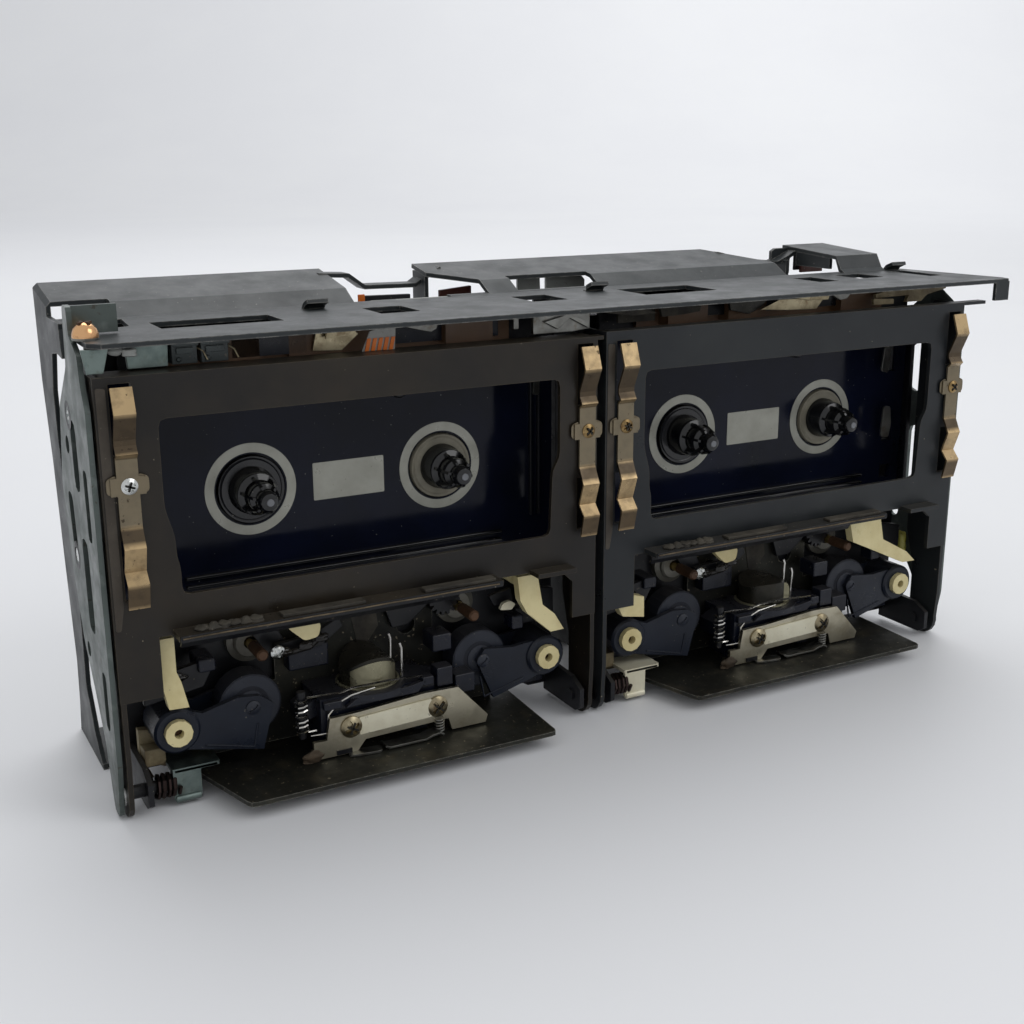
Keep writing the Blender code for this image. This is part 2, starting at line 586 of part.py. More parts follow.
def drive(deck):
    """Motor, pulley and belt, and the bracket that carries them with the flywheels."""
    outline = [
        (-46.0, 0.4), (-30.0, 0.4), (-27.0, 6.0), (27.0, 6.0), (30.0, 0.4), (46.0, 0.4),
        (46.0, 40.0), (26.0, 52.0), (26.0, 78.0), (46.0, 80.5), (46.0, 88.0), (-46.0, 88.0),
        (-46.0, 80.5), (-26.0, 78.0), (-26.0, 52.0), (-46.0, 40.0)]
    holes = [circle(0.0, MOTOR_Z, 5.6, 16)]
    for side in (-1, 1):
        holes.append(circle(side * CAPSTAN_X, CAPSTAN_Z, 1.5, 12))
        holes.append(rounded([
            (side * 31.0, 14.0), (side * 42.0, 14.0), (side * 42.0, 36.0), (side * 31.0, 40.0)], 2.0))
    plate = sheet("Y", BRACKET_FRONT, BRACKET_BACK, outline, holes)
    joined = []
    for side in (-1, 1):
        feet = sorted((side * 31.0, side * 45.0))
        joined.append(cuboid(feet, (BRACKET_FRONT + 0.2, 58.0), (0.0, 1.2)))
        for z in (10.0, 84.0):
            span = (CHASSIS_BACK + GAP, BRACKET_FRONT + 0.4)
            joined.append(rod("Y", (side * 44.0, z), span, 1.7, 10))
    finish(deck.side + "_flywheel_bracket", plate, "zinc", deck.empty, joined=joined)

    motor = turned("Y", (0.0, MOTOR_Z), [
        (0.0, 45.0), (5.0, 45.0), (5.0, 47.5), (16.0, 47.5), (16.0, 67.2), (4.2, 67.2),
        (4.2, REAR_END), (0.0, REAR_END)], 24)
    finish(deck.side + "_motor", motor, "motor_can", deck.empty)

    pulley = turned("Y", (0.0, MOTOR_Z), [
        (0.0, 36.6), (5.8, 36.6), (5.8, 37.2), (PULLEY_RADIUS, 37.5), (PULLEY_RADIUS, 42.1),
        (5.8, 42.4), (5.8, 43.0), (1.0, 43.0), (1.0, 44.7), (0.0, 44.7)], 16)
    finish(deck.side + "_motor_pulley", pulley, "brass", deck.empty,
           origin=(0.0, 40.0, MOTOR_Z))

    reach = GAP + BELT_THICK / 2
    rounds = [
        (0.0, MOTOR_Z, PULLEY_RADIUS + reach),
        (-CAPSTAN_X, CAPSTAN_Z, FLYWHEEL_RADIUS + reach),
        (CAPSTAN_X, CAPSTAN_Z, FLYWHEEL_RADIUS + reach)]
    path = belt_path(rounds, (False, True, False))
    belt = sheet("Y", BELT_FRONT, BELT_BACK, offset_loop(path, BELT_THICK / 2),
                 [offset_loop(path, -BELT_THICK / 2)])
    finish(deck.side + "_belt", belt, "rubber", deck.empty)


def switch_board(deck):
    """Small circuit board with two leaf-switch housings, under the front of the top bracket."""
    board = cuboid((-37.0, 37.0), (12.6, 13.8), (87.0, 92.6))
    blocks = [cuboid((x, x + 11.0), (8.6, 12.9), (87.6, 91.8)) for x in (-31.0, -14.0, 20.0)]
    finish(deck.side + "_switch_board", board, "board", deck.empty, joined=blocks)


# ---------------------------------------------------------------- shared top bracket

def top_bracket(root):
    """One formed black sheet that ties both decks together at the top."""
    low, high = 93.0, 94.0
    strip = [
        (-107.2, 2.2), (-105.0, 0.0), (121.0, 0.0), (RIGHT_END, 3.0), (119.5, 20.0),
        (117.0, 36.0), (-32.0, 36.0), (-32.0, 37.6), (-93.6, 37.6), (-95.0, 22.0), (-107.2, 18.0)]
    slots = [
        oblong((-90.5, -66.0), (15.0, 25.5)), oblong((-45.0, -36.0), (15.0, 26.0)),
        oblong((-7.5, 1.5), (17.5, 28.5)), oblong((21.5, 41.8), (16.2, 29.2)),
        oblong((74.5, 80.6), (17.5, 28.5)), oblong((89.0, 97.5), (19.5, 29.0)),
        oblong((109.0, 113.6), (15.0, 30.0))]
    plate = sheet("Z", low, high, strip, slots)
    rise, slope_y, slope_z, top_z = 36.4, 41.4, 96.3, 99.3
    raised = ribbon([(34.0, 93.5), (rise, 93.6), (slope_y, slope_z), (BRACKET_REAR, top_z)], SHEET)
    tongue = ribbon([(32.2, 93.6), (34.0, 94.6), (35.8, 97.8), (BRACKET_REAR, top_z)], SHEET)
    joined = [
        sheet("X", BRACKET_LEFT + 0.1, -42.5, raised),
        sheet("X", -18.8, 79.0, raised),
        sheet("X", 95.2, 109.6, tongue)]
    left_strap = [
        (-44.5, 98.7), (-37.2, 98.3), (-33.2, 95.4), (-20.2, 95.2), (-16.4, 97.6), (-13.5, 98.9)]
    right_strap = [(69.0, 98.8), (80.0, 96.4), (89.4, 95.4), (92.6, 96.6), (97.0, 98.9)]
    for strap in (left_strap, right_strap):
        joined.append(sheet("Y", 52.6, BRACKET_REAR - 0.4, ribbon(strap, SHEET)))
    joined.append(cuboid((-18.7, -17.7), (50.8, BRACKET_REAR - 0.3), (89.5, 98.3)))
    joined.append(cuboid((91.0, 92.0), (51.0, BRACKET_REAR - 0.6), (90.0, 96.2)))
    joined.append(cuboid((95.4, 96.4), (38.4, 52.0), (94.6, 98.2)))
    joined.append(sheet("Y", 55.8, 56.8, [
        (89.6, 96.2), (89.6, 98.4), (90.8, 99.1), (97.4, 99.1), (96.2, 95.8), (96.2, 92.2),
        (93.8, 92.2), (93.8, 96.0)]))
    arm = [
        (30.2, 97.0), (31.3, 93.0), (30.0, 87.4), (35.4, 87.8), (41.0, 87.0), (44.2, 79.0),
        (44.0, 70.6), (41.4, 51.6), (37.4, 32.8), (38.8, 15.0), (33.4, 6.5), (27.0, 0.0),
        (51.0, 0.0), (49.0, 7.7), (47.7, 17.8), (50.5, 38.0), (53.2, 62.2), (57.0, 79.2),
        (BRACKET_REAR - 0.3, 99.0), (43.6, 96.5)]
    joined.append(sheet("X", BRACKET_LEFT, BRACKET_LEFT + SHEET, arm))
    joined.append(cuboid((BRACKET_LEFT + 0.1, -99.5), (27.6, 47.0), (0.1, 1.1)))
    joined.append(cuboid((116.8, 121.4), (0.0, SHEET), (88.6, 93.4)))
    for x, y in ((-56.6, 31.2), (13.6, 31.2), (110.4, 34.0)):
        hook = ribbon([(y, 93.4), (y - 1.4, 95.0), (y - 3.6, 95.9)], 0.9)
        joined.append(sheet("X", x, x + 4.8, hook))
    round_off = sheet("Y", 43.0, 60.0, [
        (-108.4, 97.2), (-105.0, 100.6), (-105.0, 103.0), (-108.4, 103.0)])
    lean = (top_z - slope_z) / (BRACKET_REAR - slope_y)
    round_off.data.transform(Matrix((
        (1, 0, 0, 0), (0, 1, 0, 0), (0, lean, 1, -lean * BRACKET_REAR * MM), (0, 0, 0, 1))))
    notches = [
        cuboid((-110.0, -94.4), (30.0, 43.5), (94.2, 99.0)),
        cuboid((-1.0, 21.6), (30.0, 43.5), (94.2, 99.0)),
        sheet("Z", 94.2, 101.0, [(-21.0, 32.0), (-8.8, 32.0), (-8.8, 42.0), (-19.6, 50.4), (-21.0, 50.4)]),
        sheet("Z", 94.2, 101.0, [(78.4, 43.0), (81.0, 43.0), (81.0, 60.0), (66.0, 60.0), (66.4, 58.4)]),
        round_off]
    finish("top_bracket", plate, "bracket_paint", root, joined=joined, cut=notches)


# ---------------------------------------------------------------- assembly

for scene_object in list(bpy.data.objects):
    bpy.data.objects.remove(scene_object)

PARTS = make_collection("cassette_transport")
CUTTERS = make_collection("cutters")
MATERIALS = {
    "zinc": make_material("zinc", (0.42, 0.44, 0.43), 0.42, 0.9),
    "chassis_black": make_material("chassis_black", (0.012, 0.013, 0.017), 0.45),
    "panel_gloss": make_material("panel_gloss", (0.006, 0.008, 0.02), 0.18),
    "frame_paint": make_material("frame_paint", (0.022, 0.020, 0.017), 0.45),
    "gold": make_material("gold", (0.60, 0.46, 0.27), 0.30, 1.0),
    "spring_steel": make_material("spring_steel", (0.06, 0.05, 0.05), 0.45, 0.8),
    "black_plastic": make_material("black_plastic", (0.008, 0.008, 0.010), 0.25),
    "arm_plastic": make_material("arm_plastic", (0.020, 0.026, 0.036), 0.42),
    "rubber": make_material("rubber", (0.030, 0.034, 0.040), 0.75),
    "cream_plastic": make_material("cream_plastic", (0.70, 0.62, 0.38), 0.45),
    "steel_dark": make_material("steel_dark", (0.09, 0.085, 0.07), 0.55, 0.7),
    "mount_plastic": make_material("mount_plastic", (0.010, 0.013, 0.030), 0.40),
    "nickel": make_material("nickel", (0.50, 0.48, 0.42), 0.30, 1.0),
    "bright_wire": make_material("bright_wire", (0.65, 0.65, 0.66), 0.22, 1.0),
    "brass": make_material("brass", (0.55, 0.43, 0.22), 0.30, 1.0),
    "motor_can": make_material("motor_can", (0.48, 0.48, 0.47), 0.32, 1.0),
    "board": make_material("board", (0.10, 0.05, 0.02), 0.50),
    "bracket_paint": make_material("bracket_paint", (0.065, 0.070, 0.072), 0.50),
}

ROOT = bpy.data.objects.new("transport_origin", None)
ROOT.location = (-(LEFT_END + RIGHT_END) / 2 * MM, -(FRONT_END + REAR_END) / 2 * MM, 0.0)
PARTS.objects.link(ROOT)

for side_name, deck_centre, door_shift in (
        ("left", -PITCH / 2, -0.95), ("right", PITCH / 2, -0.05)):
    this_deck = Deck(side_name, deck_centre, door_shift, ROOT)
    for build in (chassis, side_plate, face_panel, door_frame, leaf_clips, door_spring, reels,
                  flywheels, pinch_arms, head_assembly, sensor_levers, drive, switch_board):
        build(this_deck)
top_bracket(ROOT)
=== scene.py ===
"""Looks of the twin-well cassette transport: materials, small pieces, floor, light and camera.

Shapes are given in millimetres in a deck's own frame, and Deck.place puts them in the frame that
both decks share. x runs right from the middle of the deck, y runs in from the front of the doors and
z runs up from the surface that the feet stand on.
"""
import json
import math

import bmesh
import bpy
from mathutils import Matrix, Vector


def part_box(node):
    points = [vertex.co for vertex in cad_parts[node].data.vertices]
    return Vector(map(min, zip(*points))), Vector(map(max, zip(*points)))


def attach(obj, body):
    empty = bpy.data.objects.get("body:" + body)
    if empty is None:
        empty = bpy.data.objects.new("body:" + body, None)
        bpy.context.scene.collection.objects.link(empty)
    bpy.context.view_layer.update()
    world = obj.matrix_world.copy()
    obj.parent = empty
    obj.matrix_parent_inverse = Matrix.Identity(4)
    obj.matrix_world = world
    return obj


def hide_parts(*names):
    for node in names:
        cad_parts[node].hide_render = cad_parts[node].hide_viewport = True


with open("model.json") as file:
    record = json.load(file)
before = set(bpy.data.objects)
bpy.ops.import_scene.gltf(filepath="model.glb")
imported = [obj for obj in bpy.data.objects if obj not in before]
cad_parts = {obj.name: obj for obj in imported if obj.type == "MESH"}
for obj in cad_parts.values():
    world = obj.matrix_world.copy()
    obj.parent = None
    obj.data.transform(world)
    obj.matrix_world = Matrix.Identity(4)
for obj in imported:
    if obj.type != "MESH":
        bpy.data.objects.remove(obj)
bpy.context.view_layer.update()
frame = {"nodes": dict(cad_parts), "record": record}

MM = 0.001

PANEL_FRONT = 15.5           # depth of the face panel's front behind the door fronts
PANEL_LOW = 39.5             # lower edge of the face panel above the floor
HUB_X, HUB_Z = 42.5 / 2, 60.2  # reel spindles, spaced like a cassette's hubs
CAPSTAN_X, CAPSTAN_Z = 24.0, 28.0
CAPSTAN_TIP = 5.0            # depth of a capstan shaft's front end
ARM_X, ARM_Z = 42.2, 15.2    # pivots of the pinch arms
ROLLER_X, ROLLER_Z = 26.4, 16.8
DOOR_HALF = 52.8             # half the width of a door
DOOR_SHIFT = {"left": -0.95, "right": -0.05}  # middle of a door beside the middle of its deck
CLIP_SCREW_Z = 67.9
CLIP_INSETS = (4.7, 2.9)     # from the left and right edges of a door to its clips
LIP_START = 11.0             # from the door's left edge to the lip under its window
HEAD_AXIS = (0.0, 9.0)       # upright axis that the tape head turns over on
MOTOR_AXIS = (0.0, 70.0)
IDLER_Z, UPPER_GEAR_Z = 55.0, 73.0  # gears behind the chassis, in the middle of a deck
SIDE_PLATE_FACE = 1.45       # from the door's edge to the outside of the side plate
CORNER_SCREW = (-52.7, 7.4)
MERGE = 0.001                # corners nearer than this become one
SHARP_ANGLE = 35.0           # degrees beyond which an edge is shaded sharp
BEVEL_ANGLE = 40.0           # degrees beyond which an edge is rounded
RECESS_ARM, RECESS_HALF = 0.66, 0.15  # reach and half width of a screw's recess, as shares of its radius


# ---- shapes, in millimetres

def cuboid(x, y, z):
    """A box between three (low, high) pairs."""
    mesh = bmesh.new()
    middle = Matrix.Translation([(low + high) / 2 for low, high in (x, y, z)])
    size = Matrix.Diagonal([high - low for low, high in (x, y, z)] + [1.0])
    bmesh.ops.create_cube(mesh, size=1.0, matrix=middle @ size)
    return mesh


def evaluated(source):
    """The closed mesh that a curve or a modified object makes."""
    bpy.context.scene.collection.objects.link(source)
    graph = bpy.context.evaluated_depsgraph_get()
    data = bpy.data.meshes.new_from_object(source.evaluated_get(graph))
    mesh = bmesh.new()
    mesh.from_mesh(data)
    bmesh.ops.remove_doubles(mesh, verts=mesh.verts, dist=MERGE)
    bmesh.ops.dissolve_degenerate(mesh, edges=mesh.edges, dist=MERGE)
    bmesh.ops.recalc_face_normals(mesh, faces=mesh.faces)
    bpy.data.objects.remove(source)
    bpy.data.meshes.remove(data)
    return mesh


def turn_to(normal):
    """The rotation that takes a flat outline, or a +Z axis, to a face with this normal."""
    return {
        "X": Matrix(((0, 0, 1, 0), (1, 0, 0, 0), (0, 1, 0, 0), (0, 0, 0, 1))),
        "Y": Matrix(((1, 0, 0, 0), (0, 0, -1, 0), (0, 1, 0, 0), (0, 0, 0, 1))),
        "Z": Matrix.Identity(4),
    }[normal]


def sheet(normal, low, high, outline, holes=()):
    """A flat plate; its outline is in (x, z) where it faces Y, (y, z) facing X and (x, y) facing Z."""
    curve = bpy.data.curves.new("outline", "CURVE")
    curve.dimensions = "2D"
    curve.fill_mode = "BOTH"
    curve.extrude = (high - low) / 2
    for loop in [outline, *holes]:
        spline = curve.splines.new("POLY")
        spline.points.add(len(loop) - 1)
        for point, (a, b) in zip(spline.points, loop):
            point.co = (a, b, 0.0, 1.0)
        spline.use_cyclic_u = True
    mesh = evaluated(bpy.data.objects.new("plate", curve))
    shift = [0.0, 0.0, 0.0]
    shift["XYZ".index(normal)] = (low + high) / 2
    bmesh.ops.transform(mesh, verts=mesh.verts, matrix=Matrix.Translation(shift) @ turn_to(normal))
    return mesh


def turned(axis, centre, profile, segments=48):
    """A turned solid: the profile lists (radius, place along the axis), its front or top end first."""
    data = bpy.data.meshes.new("profile")
    sign = -1.0 if axis == "Y" else 1.0
    points = [(radius, 0.0, sign * place) for radius, place in profile]
    data.from_pydata(points, [(index, index + 1) for index in range(len(points) - 1)], [])
    source = bpy.data.objects.new("profile", data)
    screw = source.modifiers.new("Turn", "SCREW")
    screw.angle = 2 * math.pi
    screw.steps = segments
    screw.render_steps = segments
    screw.use_merge_vertices = True
    screw.merge_threshold = 0.0001
    mesh = evaluated(source)
    where = list(centre)
    where.insert("XYZ".index(axis), 0.0)
    turn = {
        "X": Matrix.Rotation(math.pi / 2, 4, "Y"),
        "Y": Matrix.Rotation(math.pi / 2, 4, "X"),
        "Z": Matrix.Identity(4),
    }[axis]
    bmesh.ops.transform(mesh, verts=mesh.verts, matrix=Matrix.Translation(where) @ turn)
    return mesh


def rod(axis, centre, low, high, radius, segments=32):
    """A round bar with softened ends."""
    edge = min(0.15, radius * 0.4, (high - low) * 0.4)
    return turned(axis, centre, [
        (0.0, low), (radius - edge, low), (radius, low + edge), (radius, high - edge),
        (radius - edge, high), (0.0, high)][::1 if axis == "Y" else -1], segments)


def wire(points, radius):
    """A round wire along a list of points."""
    curve = bpy.data.curves.new("wire", "CURVE")
    curve.dimensions = "3D"
    curve.bevel_depth = radius
    curve.bevel_resolution = 3
    curve.use_fill_caps = True
    spline = curve.splines.new("POLY")
    spline.points.add(len(points) - 1)
    for point, place in zip(spline.points, points):
        point.co = (*place, 1.0)
    return evaluated(bpy.data.objects.new("wire", curve))


def circle(a, b, radius, count=32):
    """The points of a circle."""
    turns = [2 * math.pi * step / count for step in range(count)]
    return [(a + radius * math.cos(turn), b + radius * math.sin(turn)) for turn in turns]


def oblong(a, b):
    """The points of a rectangle between two (low, high) pairs."""
    return [(a[0], b[0]), (a[1], b[0]), (a[1], b[1]), (a[0], b[1])]


def rounded(points, radius):
    """Round every corner of an outline."""
    steps = 4
    result = []
    for index, corner in enumerate(points):
        arms = []
        for other in (points[index - 1], points[(index + 1) % len(points)]):
            length = math.dist(corner, other)
            reach = min(radius, length * 0.45) / length
            arms.append([c + (o - c) * reach for c, o in zip(corner, other)])
        for step in range(steps + 1):
            t = step / steps
            result.append(tuple(
                (1 - t) ** 2 * start + 2 * t * (1 - t) * middle + t ** 2 * end
                for start, middle, end in zip(arms[0], corner, arms[1])))
    return result


def coil(centre, axis, radius, low, high, turns, per_turn=20):
    """Points of a helix along one axis."""
    count = round(turns * per_turn)
    points = []
    for step in range(count + 1):
        turn = 2 * math.pi * step / per_turn
        place = [radius * math.cos(turn), radius * math.sin(turn)]
        place.insert("XYZ".index(axis), low + (high - low) * step / count)
        where = list(centre)
        where.insert("XYZ".index(axis), 0.0)
        points.append([p + w for p, w in zip(place, where)])
    return points


def moved(mesh, matrix):
    """The same mesh after a transform."""
    bmesh.ops.transform(mesh, verts=mesh.verts, matrix=matrix)
    return mesh


def ribbon(path, thickness):
    """The closed outline of a bent strip that follows a path."""
    sides = ([], [])
    for index, point in enumerate(path):
        before = path[max(index - 1, 0)]
        after = path[min(index + 1, len(path) - 1)]
        run = math.dist(before, after)
        normal = ((before[1] - after[1]) / run, (after[0] - before[0]) / run)
        for side, sign in zip(sides, (1, -1)):
            side.append(tuple(p + sign * n * thickness / 2 for p, n in zip(point, normal)))
    return sides[0] + sides[1][::-1]


# the directions of a screw head's own x, y and z for each way that it can face
FACING = {
    "-Y": ((1, 0, 0), (0, 0, 1), (0, -1, 0)),
    "+Y": ((-1, 0, 0), (0, 0, 1), (0, 1, 0)),
    "-X": ((0, -1, 0), (0, 0, 1), (-1, 0, 0)),
    "+X": ((0, 1, 0), (0, 0, 1), (1, 0, 0)),
    "+Z": ((1, 0, 0), (0, 1, 0), (0, 0, 1)),
}


def screw_head(facing, centre, radius, height, twist=0.0, cross=True):
    """A domed screw head with a cross or a single slot sunk into it."""
    half = [0.0, RECESS_HALF, 0.2, 0.45, RECESS_ARM, 0.72, 0.86, 1.0]
    lines = [-line for line in half[:0:-1]] + half
    mesh = bmesh.new()
    rows = []
    for t in lines:
        row = []
        for s in lines:
            a, b = s * math.sqrt(1 - t * t / 2), t * math.sqrt(1 - s * s / 2)
            level = height * (1 - 0.8 * (a * a + b * b))
            across = abs(s) <= RECESS_ARM and abs(t) <= RECESS_HALF
            along = abs(t) <= RECESS_ARM and abs(s) <= RECESS_HALF
            if across or (along and cross):
                level -= height * 0.62
            row.append(mesh.verts.new((a * radius, b * radius, level)))
        rows.append(row)
    last = len(lines) - 1
    for i in range(last):
        for j in range(last):
            mesh.faces.new((rows[i][j], rows[i][j + 1], rows[i + 1][j + 1], rows[i + 1][j]))
    rim = [rows[0][j] for j in range(last)] + [rows[i][last] for i in range(last)]
    rim += [rows[last][j] for j in range(last, 0, -1)] + [rows[i][0] for i in range(last, 0, -1)]
    foot = [mesh.verts.new((v.co.x, v.co.y, -0.2)) for v in rim]
    for index in range(len(rim)):
        after = (index + 1) % len(rim)
        mesh.faces.new((rim[after], rim[index], foot[index], foot[after]))
    mesh.faces.new(foot[::-1])
    columns = [Vector(column) for column in FACING[facing]]
    turn = Matrix(columns).transposed().to_4x4()
    spin = Matrix.Rotation(math.radians(twist), 4, "Z")
    return moved(mesh, Matrix.Translation(centre) @ turn @ spin)


def cross_shade(a, b, front, reach, twist):
    """Painted shade in a screw's recess: a dark cross that fills it, on a head that faces the front."""
    shade_bars = []
    for turn in (twist, twist + 90.0):
        outline = rounded(oblong((a - reach, a + reach), (b - 0.2, b + 0.2)), 0.15)
        bar = sheet("Y", front, front + 0.3, outline)
        spin = Matrix.Rotation(math.radians(turn), 4, "Y")
        centre = Matrix.Translation((a, 0.0, b))
        shade_bars.append(moved(bar, centre @ spin @ centre.inverted()))
    return shade_bars


def crowned(radius, low, waist, rise, start=-180.0, end=180.0):
    """Barrel on the head's axis whose top is arched from side to side, or a shell of part of it."""
    whole = end - start >= 360.0
    steps, rings = 48, 8
    mesh = bmesh.new()
    inner = 0.0 if whole else radius - 0.5

    def top(x):
        return waist + rise * math.sqrt(max(0.0, 1.0 - (x / (radius + 0.3)) ** 2))

    def corner(share, turn, z=None):
        reach = inner + (radius - inner) * share
        x = reach * math.cos(turn)
        return mesh.verts.new((x, HEAD_AXIS[1] + reach * math.sin(turn), top(x) if z is None else z))

    turns = [math.radians(start + (end - start) * step / steps) for step in range(steps + 1)]
    levels = [[corner(ring / rings, turn) for turn in turns] for ring in range(rings + 1)]
    foot = [corner(1.0, turn, low) for turn in turns]
    back = [corner(0.0, turn, low) for turn in turns]
    sheets = [*levels, foot, back, levels[0]]
    for upper, lower in zip(sheets, sheets[1:]):
        for index in range(steps):
            mesh.faces.new((upper[index], upper[index + 1], lower[index + 1], lower[index]))
    if not whole:
        for index in (0, steps):
            mesh.faces.new([row[index] for row in (*levels, foot, back)])
    bmesh.ops.remove_doubles(mesh, verts=mesh.verts, dist=0.002)
    bmesh.ops.recalc_face_normals(mesh, faces=mesh.faces)
    return mesh


def lump(centre, size, seed=0.0):
    """A rounded, uneven lump, such as a blob of grease."""
    mesh = bmesh.new()
    bmesh.ops.create_icosphere(mesh, subdivisions=3, radius=1.0)
    for vert in mesh.verts:
        x, y, z = vert.co
        swell = 1 + 0.16 * math.sin(4.1 * x + seed) * math.cos(3.3 * y - seed)
        swell += 0.10 * math.sin(6 * z + 2 * seed)
        vert.co = [c * swell * s + m for c, s, m in zip(vert.co, size, centre)]
    return mesh


def toothed(a, b, root, tip, teeth):
    """The outline of a gear."""
    points = []
    for tooth in range(teeth):
        for share, radius in ((0.0, root), (0.25, root), (0.42, tip), (0.78, tip)):
            turn = 2 * math.pi * (tooth + share) / teeth
            points.append((a + radius * math.cos(turn), b + radius * math.sin(turn)))
    return points


# ---- pieces

class Deck:
    """One of the two decks, placed by its face panel."""

    def __init__(self, side):
        low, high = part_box(side + "_face_panel")
        self.side = side
        self.door = DOOR_SHIFT[side]
        self.outer = -1 if side == "left" else 1
        middle = ((low.x + high.x) / 2, low.y - PANEL_FRONT * MM, low.z - PANEL_LOW * MM)
        self.place = Matrix.Translation(middle) @ Matrix.Scale(MM, 4)

    def body(self, name):
        """The body of this deck with this name, or the fixed transport."""
        return name if name == "transport" else f"{self.side}_{name}"


def piece(deck, name, parts, look, body="transport", bevel=0.0):
    """Join shapes into one named piece, place it, give it its look and let it ride on its body."""
    joined = bmesh.new()
    for part in parts:
        data = bpy.data.meshes.new("part")
        part.to_mesh(data)
        part.free()
        joined.from_mesh(data)
        bpy.data.meshes.remove(data)
    bmesh.ops.transform(joined, verts=joined.verts, matrix=deck.place)
    data = bpy.data.meshes.new(name)
    joined.to_mesh(data)
    joined.free()
    data.shade_smooth()
    data.set_sharp_from_angle(angle=math.radians(SHARP_ANGLE))
    data.materials.append(LOOKS[look])
    thing = bpy.data.objects.new(f"{deck.side}_{name}", data)
    bpy.context.scene.collection.objects.link(thing)
    if bevel:
        edge = thing.modifiers.new("Edge", "BEVEL")
        edge.width = bevel * MM
        edge.segments = 2
        edge.limit_method = "ANGLE"
        edge.angle_limit = math.radians(BEVEL_ANGLE)
        edge.harden_normals = True
    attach(thing, deck.body(body))
    return thing


# ---- materials

def linear(colour, lift=1.0):
    """A colour given in 0-255 display values, lifted and made ready for a node."""
    result = []
    for value in colour:
        share = value / 255
        level = share / 12.92 if share <= 0.04045 else ((share + 0.055) / 1.055) ** 2.4
        result.append(min(1.0, level * lift))
    return (*result, 1.0)


